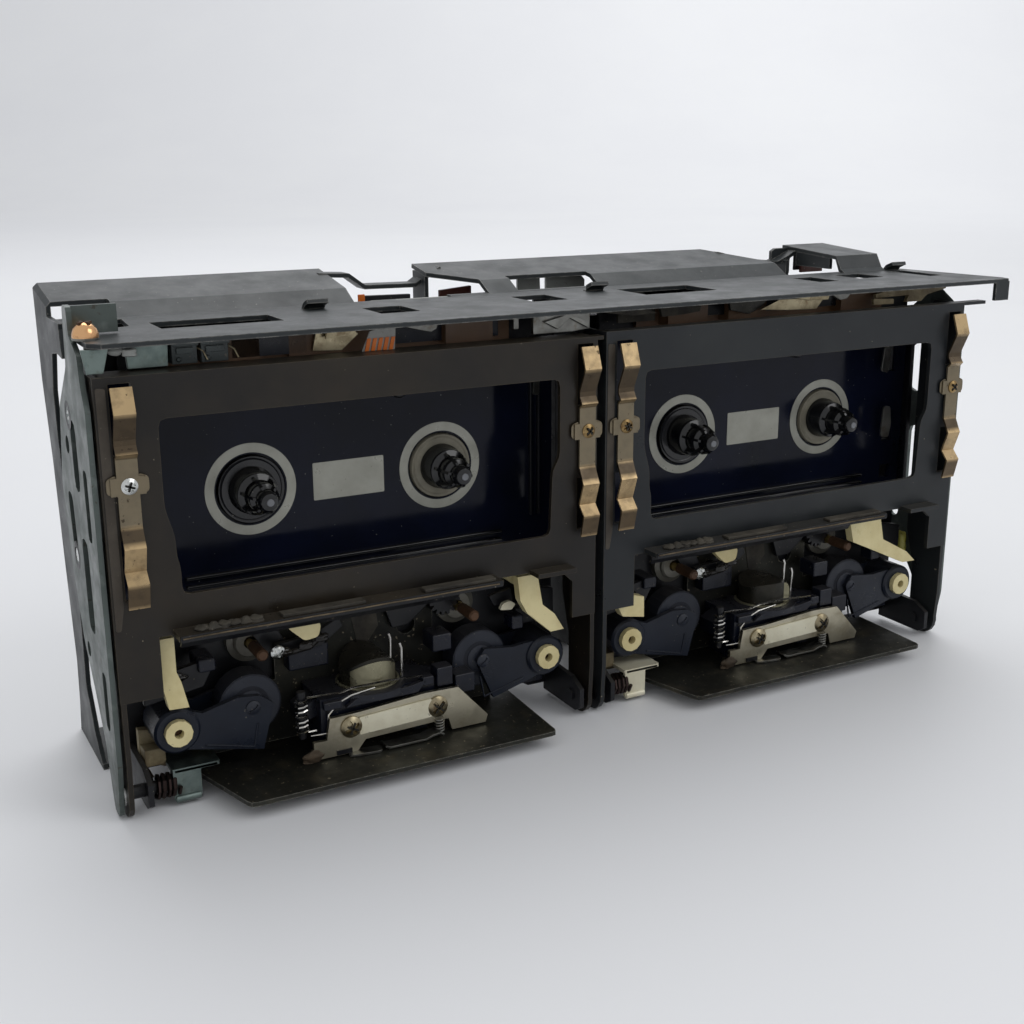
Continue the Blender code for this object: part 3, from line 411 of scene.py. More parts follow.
class Finish:
    """A node material that is built up step by step from a Principled shader."""

    def __init__(self, name, colour, roughness, metallic=0.0, gloss=0.5):
        self.material = bpy.data.materials.new(name)
        self.material.use_nodes = True
        self.tree = self.material.node_tree
        self.shader = self.tree.nodes["Principled BSDF"]
        self.shader.inputs["Metallic"].default_value = metallic
        self.shader.inputs["Specular IOR Level"].default_value = gloss
        self.colour = self.rgb(colour)
        self.base_roughness = roughness
        self.roughness = None
        self.relief = None
        self.place = self.node("ShaderNodeTexCoord").outputs["Object"]

    def node(self, kind, **settings):
        """Add a node and set its properties."""
        made = self.tree.nodes.new(kind)
        for key, value in settings.items():
            setattr(made, key, value)
        return made

    def link(self, source, target):
        """Join an output to an input."""
        self.tree.links.new(source, target)

    def rgb(self, colour):
        """A constant colour as an output, for mixing."""
        made = self.node("ShaderNodeRGB")
        made.outputs[0].default_value = linear(colour)
        return made.outputs[0]

    def noise(self, scale, detail=4.0, rough=0.55):
        """Noise over the whole object; the scale is in features a metre."""
        made = self.node("ShaderNodeTexNoise")
        made.inputs["Scale"].default_value = scale
        made.inputs["Detail"].default_value = detail
        made.inputs["Roughness"].default_value = rough
        self.link(self.place, made.inputs["Vector"])
        return made.outputs["Fac"]

    def band(self, value, low, high, start=0.0, end=1.0):
        """Map one range of a value to another, clamped."""
        made = self.node("ShaderNodeMapRange")
        made.inputs["From Min"].default_value = low
        made.inputs["From Max"].default_value = high
        made.inputs["To Min"].default_value = start
        made.inputs["To Max"].default_value = end
        self.link(value, made.inputs["Value"])
        return made.outputs["Result"]

    def product(self, first, second):
        """Multiply two values."""
        made = self.node("ShaderNodeMath", operation="MULTIPLY")
        self.link(first, made.inputs[0])
        self.link(second, made.inputs[1])
        return made.outputs[0]

    def mix(self, factor, colour, lift=1.0):
        """Mix another colour over the surface where the factor is high."""
        made = self.node("ShaderNodeMix", data_type="RGBA")
        self.link(factor, made.inputs[0])
        self.link(self.colour, made.inputs[6])
        made.inputs[7].default_value = linear(colour, lift)
        self.colour = made.outputs[2]
        return self

    def mottle(self, colour, scale=60.0, low=0.42, high=0.68, strength=1.0):
        """Slow blotches of a second colour."""
        blotches = self.noise(scale, 5.0, 0.6)
        return self.mix(self.band(blotches, low, high, 0.0, strength), colour)

    def stripe(self, low, high, colour, strength):
        """Another colour between two heights over the floor, in millimetres."""
        height = self.node("ShaderNodeSeparateXYZ")
        self.link(self.place, height.inputs["Vector"])
        fade = 0.5 * MM
        above = self.band(height.outputs["Z"], low * MM - fade, low * MM + fade)
        below = self.band(height.outputs["Z"], high * MM - fade, high * MM + fade, strength, 0.0)
        return self.mix(self.product(above, below), colour)

    def specks(self, colour, scale=900.0, low=0.66, high=0.72, strength=1.0):
        """Small dust specks."""
        return self.mix(self.band(self.noise(scale, 2.0, 0.5), low, high, 0.0, strength), colour)

    def edges(self, colour, radius, strength, lift=1.0):
        """Worn colour along sharp edges."""
        bevel = self.node("ShaderNodeBevel", samples=4)
        bevel.inputs["Radius"].default_value = radius * MM
        shape = self.node("ShaderNodeNewGeometry")
        dot = self.node("ShaderNodeVectorMath", operation="DOT_PRODUCT")
        self.link(bevel.outputs["Normal"], dot.inputs[0])
        self.link(shape.outputs["Normal"], dot.inputs[1])
        flipped = self.node("ShaderNodeMath", operation="SUBTRACT")
        flipped.inputs[0].default_value = 1.0
        self.link(dot.outputs["Value"], flipped.inputs[1])
        mask = self.band(flipped.outputs[0], 0.04, 0.25)
        broken = self.band(self.noise(500.0, 3.0), 0.38, 0.58, 0.15, strength)
        return self.mix(self.product(mask, broken), colour, lift)

    def dust(self, colour, strength=0.5, scale=260.0):
        """Dust that lies on the faces that look up."""
        shape = self.node("ShaderNodeNewGeometry")
        split = self.node("ShaderNodeSeparateXYZ")
        self.link(shape.outputs["Normal"], split.inputs[0])
        upward = self.band(split.outputs["Z"], 0.35, 0.95)
        cover = self.band(self.noise(scale, 6.0, 0.65), 0.36, 0.66, 0.1, strength)
        return self.mix(self.product(upward, cover), colour)

    def uneven(self, scale=120.0, spread=0.12):
        """Uneven gloss."""
        low = max(0.02, self.base_roughness - spread)
        high = min(1.0, self.base_roughness + spread)
        self.roughness = self.band(self.noise(scale, 5.0, 0.6), 0.3, 0.7, low, high)
        return self

    def bump(self, scale, strength, distance):
        """Fine relief."""
        made = self.node("ShaderNodeBump")
        made.inputs["Strength"].default_value = strength
        made.inputs["Distance"].default_value = distance * MM
        self.link(self.noise(scale, 3.0, 0.6), made.inputs["Height"])
        self.relief = made.outputs["Normal"]
        return self

    def done(self):
        """Join everything to the shader and return the material."""
        self.link(self.colour, self.shader.inputs["Base Color"])
        if self.roughness is None:
            self.shader.inputs["Roughness"].default_value = self.base_roughness
        else:
            self.link(self.roughness, self.shader.inputs["Roughness"])
        if self.relief is not None:
            self.link(self.relief, self.shader.inputs["Normal"])
        return self.material


def zinc_finish(name):
    """Dull, stained zinc plating."""
    finish = Finish(name, (88, 96, 93), 0.42, 0.7)
    finish.mottle((74, 80, 77), 70.0, 0.40, 0.70, 0.8)
    finish.mottle((140, 147, 143), 210.0, 0.55, 0.78, 0.5)
    finish.specks((70, 66, 58), 700.0, 0.66, 0.72, 0.8)
    finish.uneven(160.0, 0.14).bump(1400.0, 0.25, 0.03)
    return finish.done()


def panel_finish(name):
    """Glossy blue-black panel with dust specks."""
    finish = Finish(name, (14, 18, 34), 0.14, 0.0, 0.16)
    finish.mottle((9, 12, 20), 35.0, 0.40, 0.65, 0.8)
    finish.specks((120, 122, 118), 1500.0, 0.755, 0.78, 0.9)
    finish.uneven(90.0, 0.08).bump(60.0, 0.08, 0.05)
    return finish.done()


def frame_finish(name, colour, warm):
    """Satin paint that is worn at the edges."""
    finish = Finish(name, colour, 0.40, 0.0, 0.3)
    finish.mottle(warm, 28.0, 0.42, 0.62, 0.85)
    finish.specks((150, 140, 120), 1100.0, 0.74, 0.77, 0.8)
    finish.edges((104, 94, 74), 0.25, 0.5)
    finish.dust((120, 112, 98), 0.14)
    finish.uneven(80.0, 0.13).bump(2200.0, 0.22, 0.03)
    return finish.done()


def bracket_finish(name):
    """Textured dark paint with bright worn edges."""
    finish = Finish(name, (33, 38, 40), 0.44, 0.0, 0.36)
    finish.mottle((27, 31, 33), 40.0, 0.40, 0.66, 0.8)
    finish.specks((150, 146, 136), 1300.0, 0.72, 0.76, 0.7)
    finish.edges((150, 148, 142), 0.45, 0.8)
    finish.dust((96, 100, 100), 0.22, 500.0)
    finish.uneven(120.0, 0.10).bump(2600.0, 0.30, 0.03)
    return finish.done()


def plain_metal(name, colour, dark, roughness, scale=120.0):
    """Clean metal with slow stains."""
    finish = Finish(name, colour, roughness, 1.0)
    finish.mottle(dark, scale, 0.45, 0.72, 0.7)
    finish.uneven(scale * 2, 0.10).bump(scale * 12, 0.12, 0.02)
    return finish.done()


def plastic(name, colour, second, roughness, dust=0.25, bump=0.15, gloss=0.5):
    """Moulded plastic or rubber with some dust."""
    finish = Finish(name, colour, roughness, 0.0, gloss)
    finish.mottle(second, 90.0, 0.42, 0.68, 0.8)
    finish.specks((120, 116, 104), 1400.0, 0.73, 0.77, 0.6)
    finish.dust((96, 92, 84), dust)
    finish.uneven(150.0, 0.12).bump(1800.0, bump, 0.03)
    return finish.done()


def shelf_finish(name):
    """Dirty bare steel."""
    finish = Finish(name, (46, 46, 40), 0.50, 0.45, 0.4)
    finish.mottle((24, 24, 21), 55.0, 0.36, 0.60, 1.0)
    finish.mottle((70, 64, 50), 160.0, 0.54, 0.74, 0.6)
    finish.specks((140, 130, 110), 1200.0, 0.68, 0.74, 0.8)
    finish.edges((150, 148, 138), 0.35, 0.9)
    finish.uneven(110.0, 0.2).bump(1100.0, 0.5, 0.05)
    return finish.done()


def gold_with_painted_shade(name):
    """Gold plate with painted shade: its folds that face away from the light are painted darker."""
    finish = Finish(name, (176, 152, 114), 0.36, 0.8)
    finish.mottle((120, 104, 80), 420.0, 0.46, 0.66, 0.6)
    # painted shade: dark bands at the heights of the folds that face away from the light
    for low, high, colour, strength in (
            (74.0, 81.2, (54, 46, 38), 0.9), (60.2, 73.4, (104, 98, 84), 0.85),
            (57.2, 60.0, (50, 43, 36), 0.9), (44.8, 49.2, (62, 52, 42), 0.85)):
        finish.stripe(low, high, colour, strength)
    finish.specks((52, 42, 32), 900.0, 0.68, 0.74, 0.8)
    finish.uneven(300.0, 0.14).bump(1500.0, 0.2, 0.03)
    return finish.done()


def soiled(name, colour, dark, roughness, metallic=0.0, dirt=0.6, dust=0.3):
    """Old satin material with oily blotches and dust."""
    finish = Finish(name, colour, roughness, metallic, 0.35)
    finish.mottle(dark, 140.0, 0.38, 0.64, dirt)
    finish.specks((112, 104, 90), 1300.0, 0.70, 0.75, 0.7)
    finish.dust((104, 98, 86), dust)
    finish.uneven(220.0, 0.16).bump(1200.0, 0.3, 0.05)
    return finish.done()


def worn_metal(name, colour, dark, roughness, rust):
    """Plated steel with stains and brighter edges."""
    finish = Finish(name, colour, roughness, 1.0)
    finish.mottle(dark, 240.0, 0.42, 0.70, 0.8)
    finish.mottle(rust, 520.0, 0.56, 0.70, 0.6)
    finish.edges(colour, 0.2, 0.7, 1.6)
    finish.uneven(400.0, 0.12).bump(2400.0, 0.2, 0.02)
    return finish.done()


# how each look is made; the first group is named as the material slots of the CAD pieces
FINISHES = {
    "zinc": (zinc_finish,),
    "panel_gloss": (panel_finish,),
    "left_paint": (frame_finish, (22, 19, 16), (39, 33, 24)),
    "right_paint": (frame_finish, (27, 30, 33), (37, 40, 41)),
    "bracket_paint": (bracket_finish,),
    "gold": (gold_with_painted_shade,),
    "spring_steel": (plain_metal, (58, 48, 46), (36, 28, 26), 0.42, 300.0),
    "black_plastic": (plastic, (12, 13, 18), (18, 19, 24), 0.14, 0.03, 0.05, 0.5),
    "arm_plastic": (plastic, (20, 26, 38), (14, 18, 28), 0.36, 0.10, 0.2, 0.32),
    "rubber": (plastic, (24, 27, 36), (17, 19, 27), 0.60, 0.12, 0.35, 0.3),
    "cream_plastic": (plastic, (212, 200, 152), (184, 168, 116), 0.38, 0.25, 0.15),
    "steel_dark": (shelf_finish,),
    "mount_plastic": (plastic, (14, 18, 30), (9, 11, 20), 0.32, 0.10, 0.12, 0.35),
    "nickel": (plain_metal, (186, 180, 160), (112, 102, 80), 0.36, 150.0),
    "bright_wire": (plain_metal, (205, 203, 198), (150, 146, 138), 0.22, 300.0),
    "brass": (plain_metal, (186, 162, 104), (140, 118, 70), 0.30, 90.0),
    "motor_can": (plain_metal, (170, 170, 166), (130, 130, 126), 0.34, 60.0),
    "chassis_black": (plastic, (16, 17, 22), (9, 10, 14), 0.42, 0.16, 0.25, 0.35),
    "board": (plastic, (86, 62, 40), (66, 46, 30), 0.5, 0.4, 0.2),

    "print": (soiled, (150, 150, 141), (132, 132, 123), 0.38, 0.35, 0.6, 0.0),
    "black_disc": (plastic, (10, 11, 15), (16, 17, 21), 0.2, 0.0, 0.05),
    "beige_disc": (soiled, (126, 122, 108), (96, 92, 80), 0.5, 0.0, 0.8, 0.1),
    "gloss_black": (plastic, (10, 11, 13), (18, 19, 22), 0.14, 0.05, 0.04),
    "works_black": (soiled, (15, 16, 21), (8, 9, 12), 0.40, 0.0, 0.8, 0.14),
    "navy_plastic": (soiled, (17, 21, 33), (10, 12, 21), 0.36, 0.0, 0.7, 0.10),
    "hub_plastic": (soiled, (36, 40, 50), (24, 27, 35), 0.42, 0.0, 0.6, 0.12),
    "grey_plastic": (soiled, (92, 92, 88), (70, 70, 66), 0.45, 0.0, 0.6, 0.25),
    "bearing_grey": (soiled, (104, 102, 94), (66, 64, 58), 0.42, 0.3, 0.8, 0.25),
    "smoke_plastic": (soiled, (66, 74, 74), (42, 48, 50), 0.30, 0.0, 0.6, 0.2),
    "dust_bar": (soiled, (70, 66, 58), (34, 32, 29), 0.75, 0.1, 0.9, 0.35),
    "dirt": (soiled, (70, 58, 44), (36, 30, 24), 0.80, 0.0, 0.8, 0.3),
    "grease": (soiled, (26, 24, 22), (12, 11, 11), 0.12, 0.0, 0.5, 0.1),
    "yellow_grease": (soiled, (176, 172, 84), (140, 132, 70), 0.30, 0.0, 0.5, 0.0),
    "dirty_cream": (soiled, (150, 138, 108), (84, 70, 48), 0.55, 0.0, 0.9, 0.2),
    "rust": (soiled, (84, 60, 42), (48, 34, 26), 0.50, 0.4, 0.7, 0.0),
    "film": (soiled, (150, 150, 146), (118, 118, 112), 0.35, 0.0, 0.5, 0.1),
    "orange_film": (soiled, (214, 112, 34), (176, 84, 26), 0.32, 0.0, 0.5, 0.0),
    "fold_edge": (soiled, (70, 64, 56), (44, 38, 32), 0.42, 0.3, 0.6, 0.0),
    "worn_edge": (worn_metal, (112, 100, 82), (44, 40, 34), 0.42, (90, 66, 44)),
    "dull_steel": (worn_metal, (128, 128, 124), (88, 88, 84), 0.40, (96, 84, 66)),
    "bright_leaf": (soiled, (222, 218, 196), (194, 186, 160), 0.40, 0.3, 0.6, 0.1),
    "old_screw": (worn_metal, (160, 150, 124), (96, 84, 64), 0.34, (90, 66, 44)),
    "bright_screw": (worn_metal, (206, 208, 206), (150, 152, 150), 0.26, (130, 120, 100)),
    "gold_screw": (worn_metal, (150, 126, 86), (92, 74, 48), 0.34, (90, 62, 40)),
    "dark_screw": (worn_metal, (44, 44, 46), (24, 24, 26), 0.36, (60, 50, 40)),
    "copper_screw": (worn_metal, (226, 178, 130), (176, 122, 82), 0.22, (120, 70, 40)),
    "face_metal": (soiled, (150, 146, 122), (104, 100, 80), 0.30, 0.7, 0.7, 0.0),
    "case_dark": (soiled, (44, 42, 35), (20, 20, 18), 0.34, 0.4, 0.8, 0.15),
    "red_brown": (soiled, (86, 42, 32), (52, 26, 20), 0.55, 0.0, 0.7, 0.1),
    "pale_grey": (soiled, (168, 170, 166), (136, 138, 134), 0.45, 0.0, 0.5, 0.1),
    "pin_grey": (soiled, (110, 112, 116), (84, 86, 90), 0.45, 0.0, 0.5, 0.0),
    "zinc_green": (worn_metal, (116, 128, 124), (78, 90, 88), 0.42, (92, 96, 84)),
}

LOOKS = {name: make(name, *values) for name, (make, *values) in FINISHES.items()}


def repaint():
    """Give every CAD node its look."""
    slots = {entry["node"]: entry["material_slot"] for entry in frame["record"]["subparts"]}
    for name, node in frame["nodes"].items():
        slot = slots[name]
        if slot == "frame_paint":
            slot = "left_paint" if name.startswith("left") else "right_paint"
        for place in node.material_slots:
            place.material = LOOKS[slot]


# ---- the cassette well

def well_details(deck):
    """Printed rings and label field, the discs round the spindles and the spindles' own parts."""
    rings = [sheet("Y", 15.38, 15.5, circle(x, HUB_Z, 9.6, 64), [circle(x, HUB_Z, 7.65, 64)])
             for x in (-HUB_X, HUB_X)]
    piece(deck, "spindle_rings", rings, "print")
    field = sheet("Y", 15.40, 15.5, rounded(oblong((-7.9, 8), (56, 64)), 0.3))
    piece(deck, "silver_field", [field], "print")
    for x, word, look in ((-HUB_X, "left", "black_disc"), (HUB_X, "right", "beige_disc")):
        spindle = [turned("Y", (x, HUB_Z), [
            (0, 3), (1.1, 3.05), (1.7, 3.3), (2.05, 3.9), (2.15, 4.8), (2.15, 6), (2.5, 6.3),
            (3, 6.7), (3.15, 7.3), (3.15, 9.8), (3.6, 10.1), (4.3, 10.5), (4.5, 11.2), (4.5, 13.4),
            (4.9, 14), (4.9, 15.6), (2.2, 15.8), (2.2, 18.6), (9.3, 18.7), (9.3, 21.5), (0, 21.6)], 64)]
        for turn in range(0, 360, 60):
            spline = sheet("Z", HUB_Z - 0.28, HUB_Z + 0.28, [
                (x + 1.6, 6.4), (x + 2.3, 4.9), (x + 2.9, 5.2), (x + 3.9, 8.6), (x + 3.9, 10.6),
                (x + 1.6, 10.6)])
            spin = Matrix.Translation((x, 0, HUB_Z)) @ Matrix.Rotation(math.radians(turn + 12), 4, "Y")
            spindle.append(moved(spline, spin @ Matrix.Translation((-x, 0, -HUB_Z))))
        gear = toothed(x, HUB_Z, 9.2, 10.2, 44)
        spindle.append(sheet("Y", 18.9, 21.2, gear, [circle(x, HUB_Z, 6, 40)]))
        reel = piece(deck, f"spindle_{word}", spindle,
                     "gloss_black", f"reel_{word}", bevel=0.1)
        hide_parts(f"{deck.side}_reel_{word}")
        disc = turned("Y", (x, HUB_Z), [
            (4.7, 14.9), (6.2, 15), (6.5, 14.8), (6.9, 14.8), (7, 15), (7, 16.4), (4.7, 16.4),
            (4.7, 14.9)], 64)
        piece(deck, f"spindle_disc_{word}", [disc], look, f"reel_{word}")
        pin = turned("Y", (x, HUB_Z), [(0, 2.75), (0.65, 2.75), (0.75, 2.85), (0.75, 3.3), (0, 3.3)], 28)
        piece(deck, f"spindle_pin_{word}", [pin], "pin_grey", f"reel_{word}")
    stop = turned("Y", (11.2, 78.2), [(0, 12.8), (1.5, 12.8), (1.9, 13.2), (1.9, 15.6), (0, 15.6)], 28)
    piece(deck, "cassette_stop", [stop], "works_black")
    if deck.side == "left":
        channel = [cuboid((start, start + 0.5), (14.6, 15.5), (46, 78.4)) for start in (43.4, 45.4)]
        piece(deck, "well_channel", channel, "works_black", bevel=0.15)
        catch = sheet("Y", 13.9, 14.5, rounded([(43.8, 73.8), (45.2, 73.8), (45.4, 77.6), (44, 77.8)], 0.4))
        piece(deck, "well_catch", [catch], "dull_steel", bevel=0.1)
    else:
        post = sheet("Y", 11.6, 12.2, rounded([
            (38.9, 53.8), (41.6, 53.4), (42.2, 57), (41.6, 61.6), (39.4, 61.8)], 0.8))
        piece(deck, "well_catch", [post], "dull_steel", bevel=0.1)
        clip = sheet("Y", 12.6, 13.2, rounded([(38.6, 70.8), (41, 70.2), (41.6, 76.6), (39.4, 77.4)], 0.8))
        piece(deck, "well_catch_upper", [clip], "dull_steel", bevel=0.1)
    ledges = [cuboid((-36, 36), (14.3, 15.5), (z, z + 0.7)) for z in (41.1, 43)]
    piece(deck, "well_ledges", ledges, "gloss_black", bevel=0.25)


# ---- the doors

def door_details(deck):
    """Screws and ears of the leaf clips, the worn lip under the window and the pivot screws."""
    left, right = deck.door - DOOR_HALF, deck.door + DOOR_HALF
    clips = (left + CLIP_INSETS[0], right - CLIP_INSETS[1])
    for x, word, twist in zip(clips, ("left", "right"), (20, 52)):
        head = screw_head("-Y", (x + 0.2, -1, CLIP_SCREW_Z), 1.55, 0.7, twist)
        look = "bright_screw" if (deck.side, word) == ("left", "left") else "gold_screw"
        piece(deck, f"clip_screw_{word}", [head], look, "door")
        # painted shade: a dark cross that fills the screw's recess
        shade_bars = cross_shade(x + 0.2, CLIP_SCREW_Z, -1.74, 0.95, twist)
        piece(deck, f"clip_recess_{word}", shade_bars, "case_dark", "door")
        tabs = [sheet("Y", -0.62, -0.44, rounded([
            (x + side * 2, 66), (x + side * 3.9, 66.6), (x + side * 3.9, 69.4), (x + side * 2, 70.2)], 0.7))
            for side in (-1, 1)]
        piece(deck, f"clip_ears_{word}", tabs, "gold", "door", bevel=0.06)
    lip = left + LIP_START
    bars = [cuboid((lip + start, lip + end), (-4.2, -1.6), (38.7, 39.4))
            for start, end in ((20.5, 38), (51, 67.5))]
    bars += [lump((lip + 5 + 2.1 * step, -2.6, 38.9), (1.5, 1.4, 0.8), step) for step in range(6)]
    piece(deck, "lip_pads", bars, "dust_bar", "door", bevel=0.3)
    face = sheet("Y", -4.9, -4.62, rounded(oblong((lip + 0.2, lip + 68.8), (37.5, 38.75)), 0.3))
    piece(deck, "lip_face", [face], "works_black", "door", bevel=0.08)
    line = wire([(lip + 0.6 + 8.4 * step, -4.95, 38.2 + 0.08 * (step % 2)) for step in range(9)], 0.17)
    piece(deck, "lip_edge", [line], "worn_edge", "door")
    rail = sheet("X", lip + 1, lip + 60, ribbon([(-1, 37.5), (-1.4, 36.2), (-0.6, 35.2)], 0.5))
    piece(deck, "lip_gutter", [rail], "works_black", "door")
    for x, facing, word in ((left - 0.15, "-X", "left"), (right - 1.35, "-X", "right")):
        outside = word == "left"
        head = screw_head(facing, (x, 5, 4.5), 2.5, 0.8 if outside else 0.5, 10, False)
        look = "bright_screw" if (deck.side, word) == ("left", "left") else "dark_screw"
        piece(deck, f"pivot_head_{word}", [head], look, "door")
    hinge = sheet("Y", -0.12, 0.02, rounded([
        (left + 0.4, 86.2), (left + 2.2, 86), (left + 2.2, 44.6), (left + 1.4, 40), (left + 0.4, 40)], 0.5))
    piece(deck, "rail_fold", [hinge], "fold_edge", "door", bevel=0.05)


# ---- pinch arms and rollers

def arm_details(deck):
    """Roller hubs, axle ends, painted shade in the holes of the bushes, and the ribs of the arms."""
    for side, word in ((-1, "left"), (1, "right")):
        x = side * ARM_X
        roller = (side * ROLLER_X, ROLLER_Z)
        hub = turned("Y", roller, [
            (1.1, 7.2), (2.2, 7.3), (3, 7.5), (3.1, 7.7), (6.2, 7.7), (6.35, 7.85), (6.35, 8.2),
            (1.1, 8.2), (1.1, 7.2)], 48)
        piece(deck, f"roller_hub_{word}", [hub], "hub_plastic", f"pinch_roller_{word}")
        axle = screw_head("-Y", (roller[0], 5.75, roller[1]), 1.5, 0.5, 35, False)
        piece(deck, f"roller_axle_{word}", [axle], "hub_plastic", f"pinch_arm_{word}")
        # painted shade: a dark brown plug that fills the hole in the bush
        pin = turned("Y", (x, ARM_Z), [(0, 5.6), (0.8, 5.6), (0.98, 5.8), (0.98, 6.4), (0, 6.4)], 24)
        piece(deck, f"pivot_pin_{word}", [pin], "rust")
        rim = turned("Y", (x, ARM_Z), [
            (2.85, 5.1), (4.2, 5.1), (4.7, 5.6), (4.3, 5.6), (2.85, 5.6), (2.85, 5.1)], 40)
        piece(deck, f"arm_rim_{word}", [rim], "arm_plastic", f"pinch_arm_{word}")
        rib = wire([(x - side * 5.6, 5.9, ARM_Z - 4.4), (x - side * 15.6, 5.9, ARM_Z - 7),
                    (x - side * 16.6, 5.9, ARM_Z - 2)], 0.25)
        piece(deck, f"arm_rib_{word}", [rib], "arm_plastic", f"pinch_arm_{word}")
        spring = wire(coil((x, ARM_Z), "Y", 3.5, 14.6, 16, 2.5), 0.25)
        piece(deck, f"arm_spring_{word}", [spring], "dull_steel")


# ---- head and its slide

def head_details(deck):
    """The azimuth parts, springs, guide wires and blocks on the slide, and the head in its bezel."""
    for x, z, word, twist in ((-7.2, 10.3, "left", 25), (12.7, 10.7, "right", 40)):
        head = screw_head("-Y", (x, 0.75, z), 2.35, 1.1, twist)
        piece(deck, f"azimuth_screw_{word}", [head], "old_screw", "head_slide")
        # painted shade: a dark cross that fills the screw's recess
        shade_bars = cross_shade(x, z, -0.42, 1.35, twist)
        piece(deck, f"azimuth_recess_{word}", shade_bars, "case_dark", "head_slide")
    leaf = sheet("Y", 0.50, 0.85, rounded([(-5.4, 8.2), (11.2, 8.7), (11.2, 12.9), (-5.4, 12.1)], 0.3))
    piece(deck, "azimuth_leaf", [leaf], "bright_leaf", "head_slide", bevel=0.08)
    tongue = sheet("Y", -1.4, 2, ribbon([
        (-0.4, 5.1), (0.6, 4.6), (9, 4.6), (10.8, 5.2), (12.4, 5.3), (13.2, 4.8)], 0.45))
    piece(deck, "azimuth_tongue", [tongue], "dull_steel", "head_slide", bevel=0.06)
    plate = sheet("Z", 4.1, 4.6, rounded([(-8.4, -0.6), (-1.2, -1.6), (-0.4, 1.2), (-7.6, 2)], 1.2))
    piece(deck, "azimuth_washer_plate", [plate], "dull_steel", "head_slide", bevel=0.08)
    spring = wire(coil((13, 0.6, 0), "Z", 0.95, 4.8, 8, 5, 14), 0.2)
    piece(deck, "azimuth_spring", [spring], "dull_steel", "head_slide")
    low_wire = wire([(-15.4, 2.9, 9.2), (-12, 2.2, 9.4), (-11.6, 2.2, 13.4), (-9.4, 2.2, 15.6),
                     (-6.4, 2.2, 16.8), (-1, 2.4, 17.3)], 0.24)
    piece(deck, "return_wire", [low_wire], "bright_wire", "head_slide")
    post = turned("Z", (-16.8, 4), [
        (0, 19.2), (0.9, 19), (1, 18.6), (0.8, 17.6), (0.8, 8.6), (0, 8.6)], 24)
    piece(deck, "spring_post", [post], "works_black", "head_slide")
    guides = [
        wire([(4.3, 6.6, 16.4), (4.3, 6, 26.4), (3.9, 6, 27.4)], 0.33),
        wire([(7, 6.6, 16), (6.8, 6, 23.6), (6.4, 6, 24.8)], 0.33)]
    piece(deck, "tape_guides", guides, "bright_wire", "head_slide")
    bezel = turned("Z", HEAD_AXIS, [
        (6.15, 16.65), (7.6, 16.9), (8.6, 16.5), (8.8, 15.2), (6.15, 15.2), (6.15, 16.65)][::-1], 64)
    piece(deck, "head_bezel", [bezel], "navy_plastic", "head_slide")
    rim = turned("Z", HEAD_AXIS, [
        (6.2, 16.7), (6.2, 17.1), (6.5, 17.25), (6.85, 17.05), (6.9, 16.8), (6.2, 16.7)][::-1], 64)
    piece(deck, "bezel_rim", [rim], "face_metal", "head_slide")
    blocks = [
        cuboid((13.6, 17.4), (2.6, 6.2), (14.2, 18.6)), cuboid((18.2, 23), (3.2, 8.6), (11.4, 15.8)),
        cuboid((-12.6, -8.6), (1.8, 5), (14.4, 16.2)), cuboid((9.8, 12.4), (1.6, 4), (15.6, 17.6)),
        sheet("Y", 1.6, 2.9, [(-8, 14.2), (8.6, 14.4), (11.2, 17), (6, 16.2), (-6, 15.8)])]
    piece(deck, "head_carrier_blocks", blocks, "navy_plastic", "head_slide", bevel=0.3)
    dirt = [lump((-15.6, 1, 5.4), (2.2, 1, 1.3), 0.4), lump((-16.4, 1.6, 4.4), (1.4, 1.2, 0.6), 2)]
    piece(deck, "foot_dirt", dirt, "dirt", "head_slide")
    # painted shade: a dark sheet drawn where the slot in the foot is
    slot = sheet("Y", 0.62, 0.88, oblong((-10.6, -7.2), (4.6, 5.6)))
    piece(deck, "foot_hole_shade", [slot], "works_black", "head_slide")
    barrel = turned("Z", HEAD_AXIS, [
        (0, 16.7), (5.8, 16.7), (5.8, 12.4), (0, 12.4)][::-1], 64)
    if deck.side == "left":
        cover = piece(deck, "head_case", [barrel, crowned(6, 16.6, 17.5, 6)],
                      "case_dark", "head_turn")
        face = crowned(6.12, 17, 17.1, 5.6, -148, -32)
        piece(deck, "head_face", [face], "face_metal", "head_turn")
    else:
        cover = piece(deck, "head_case", [barrel, crowned(6, 16.6, 20.4, 2.2)],
                      "case_dark", "head_turn")
        face = sheet("Y", 3.55, 5.4, rounded([
            (-0.6, 17.1), (4.1, 17.1), (4.3, 20.6), (3.4, 22.2), (0, 22.3)], 0.9))
        piece(deck, "head_face", [face], "face_metal", "head_turn", bevel=0.4)
    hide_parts(f"{deck.side}_head")


# ---- the works below the window

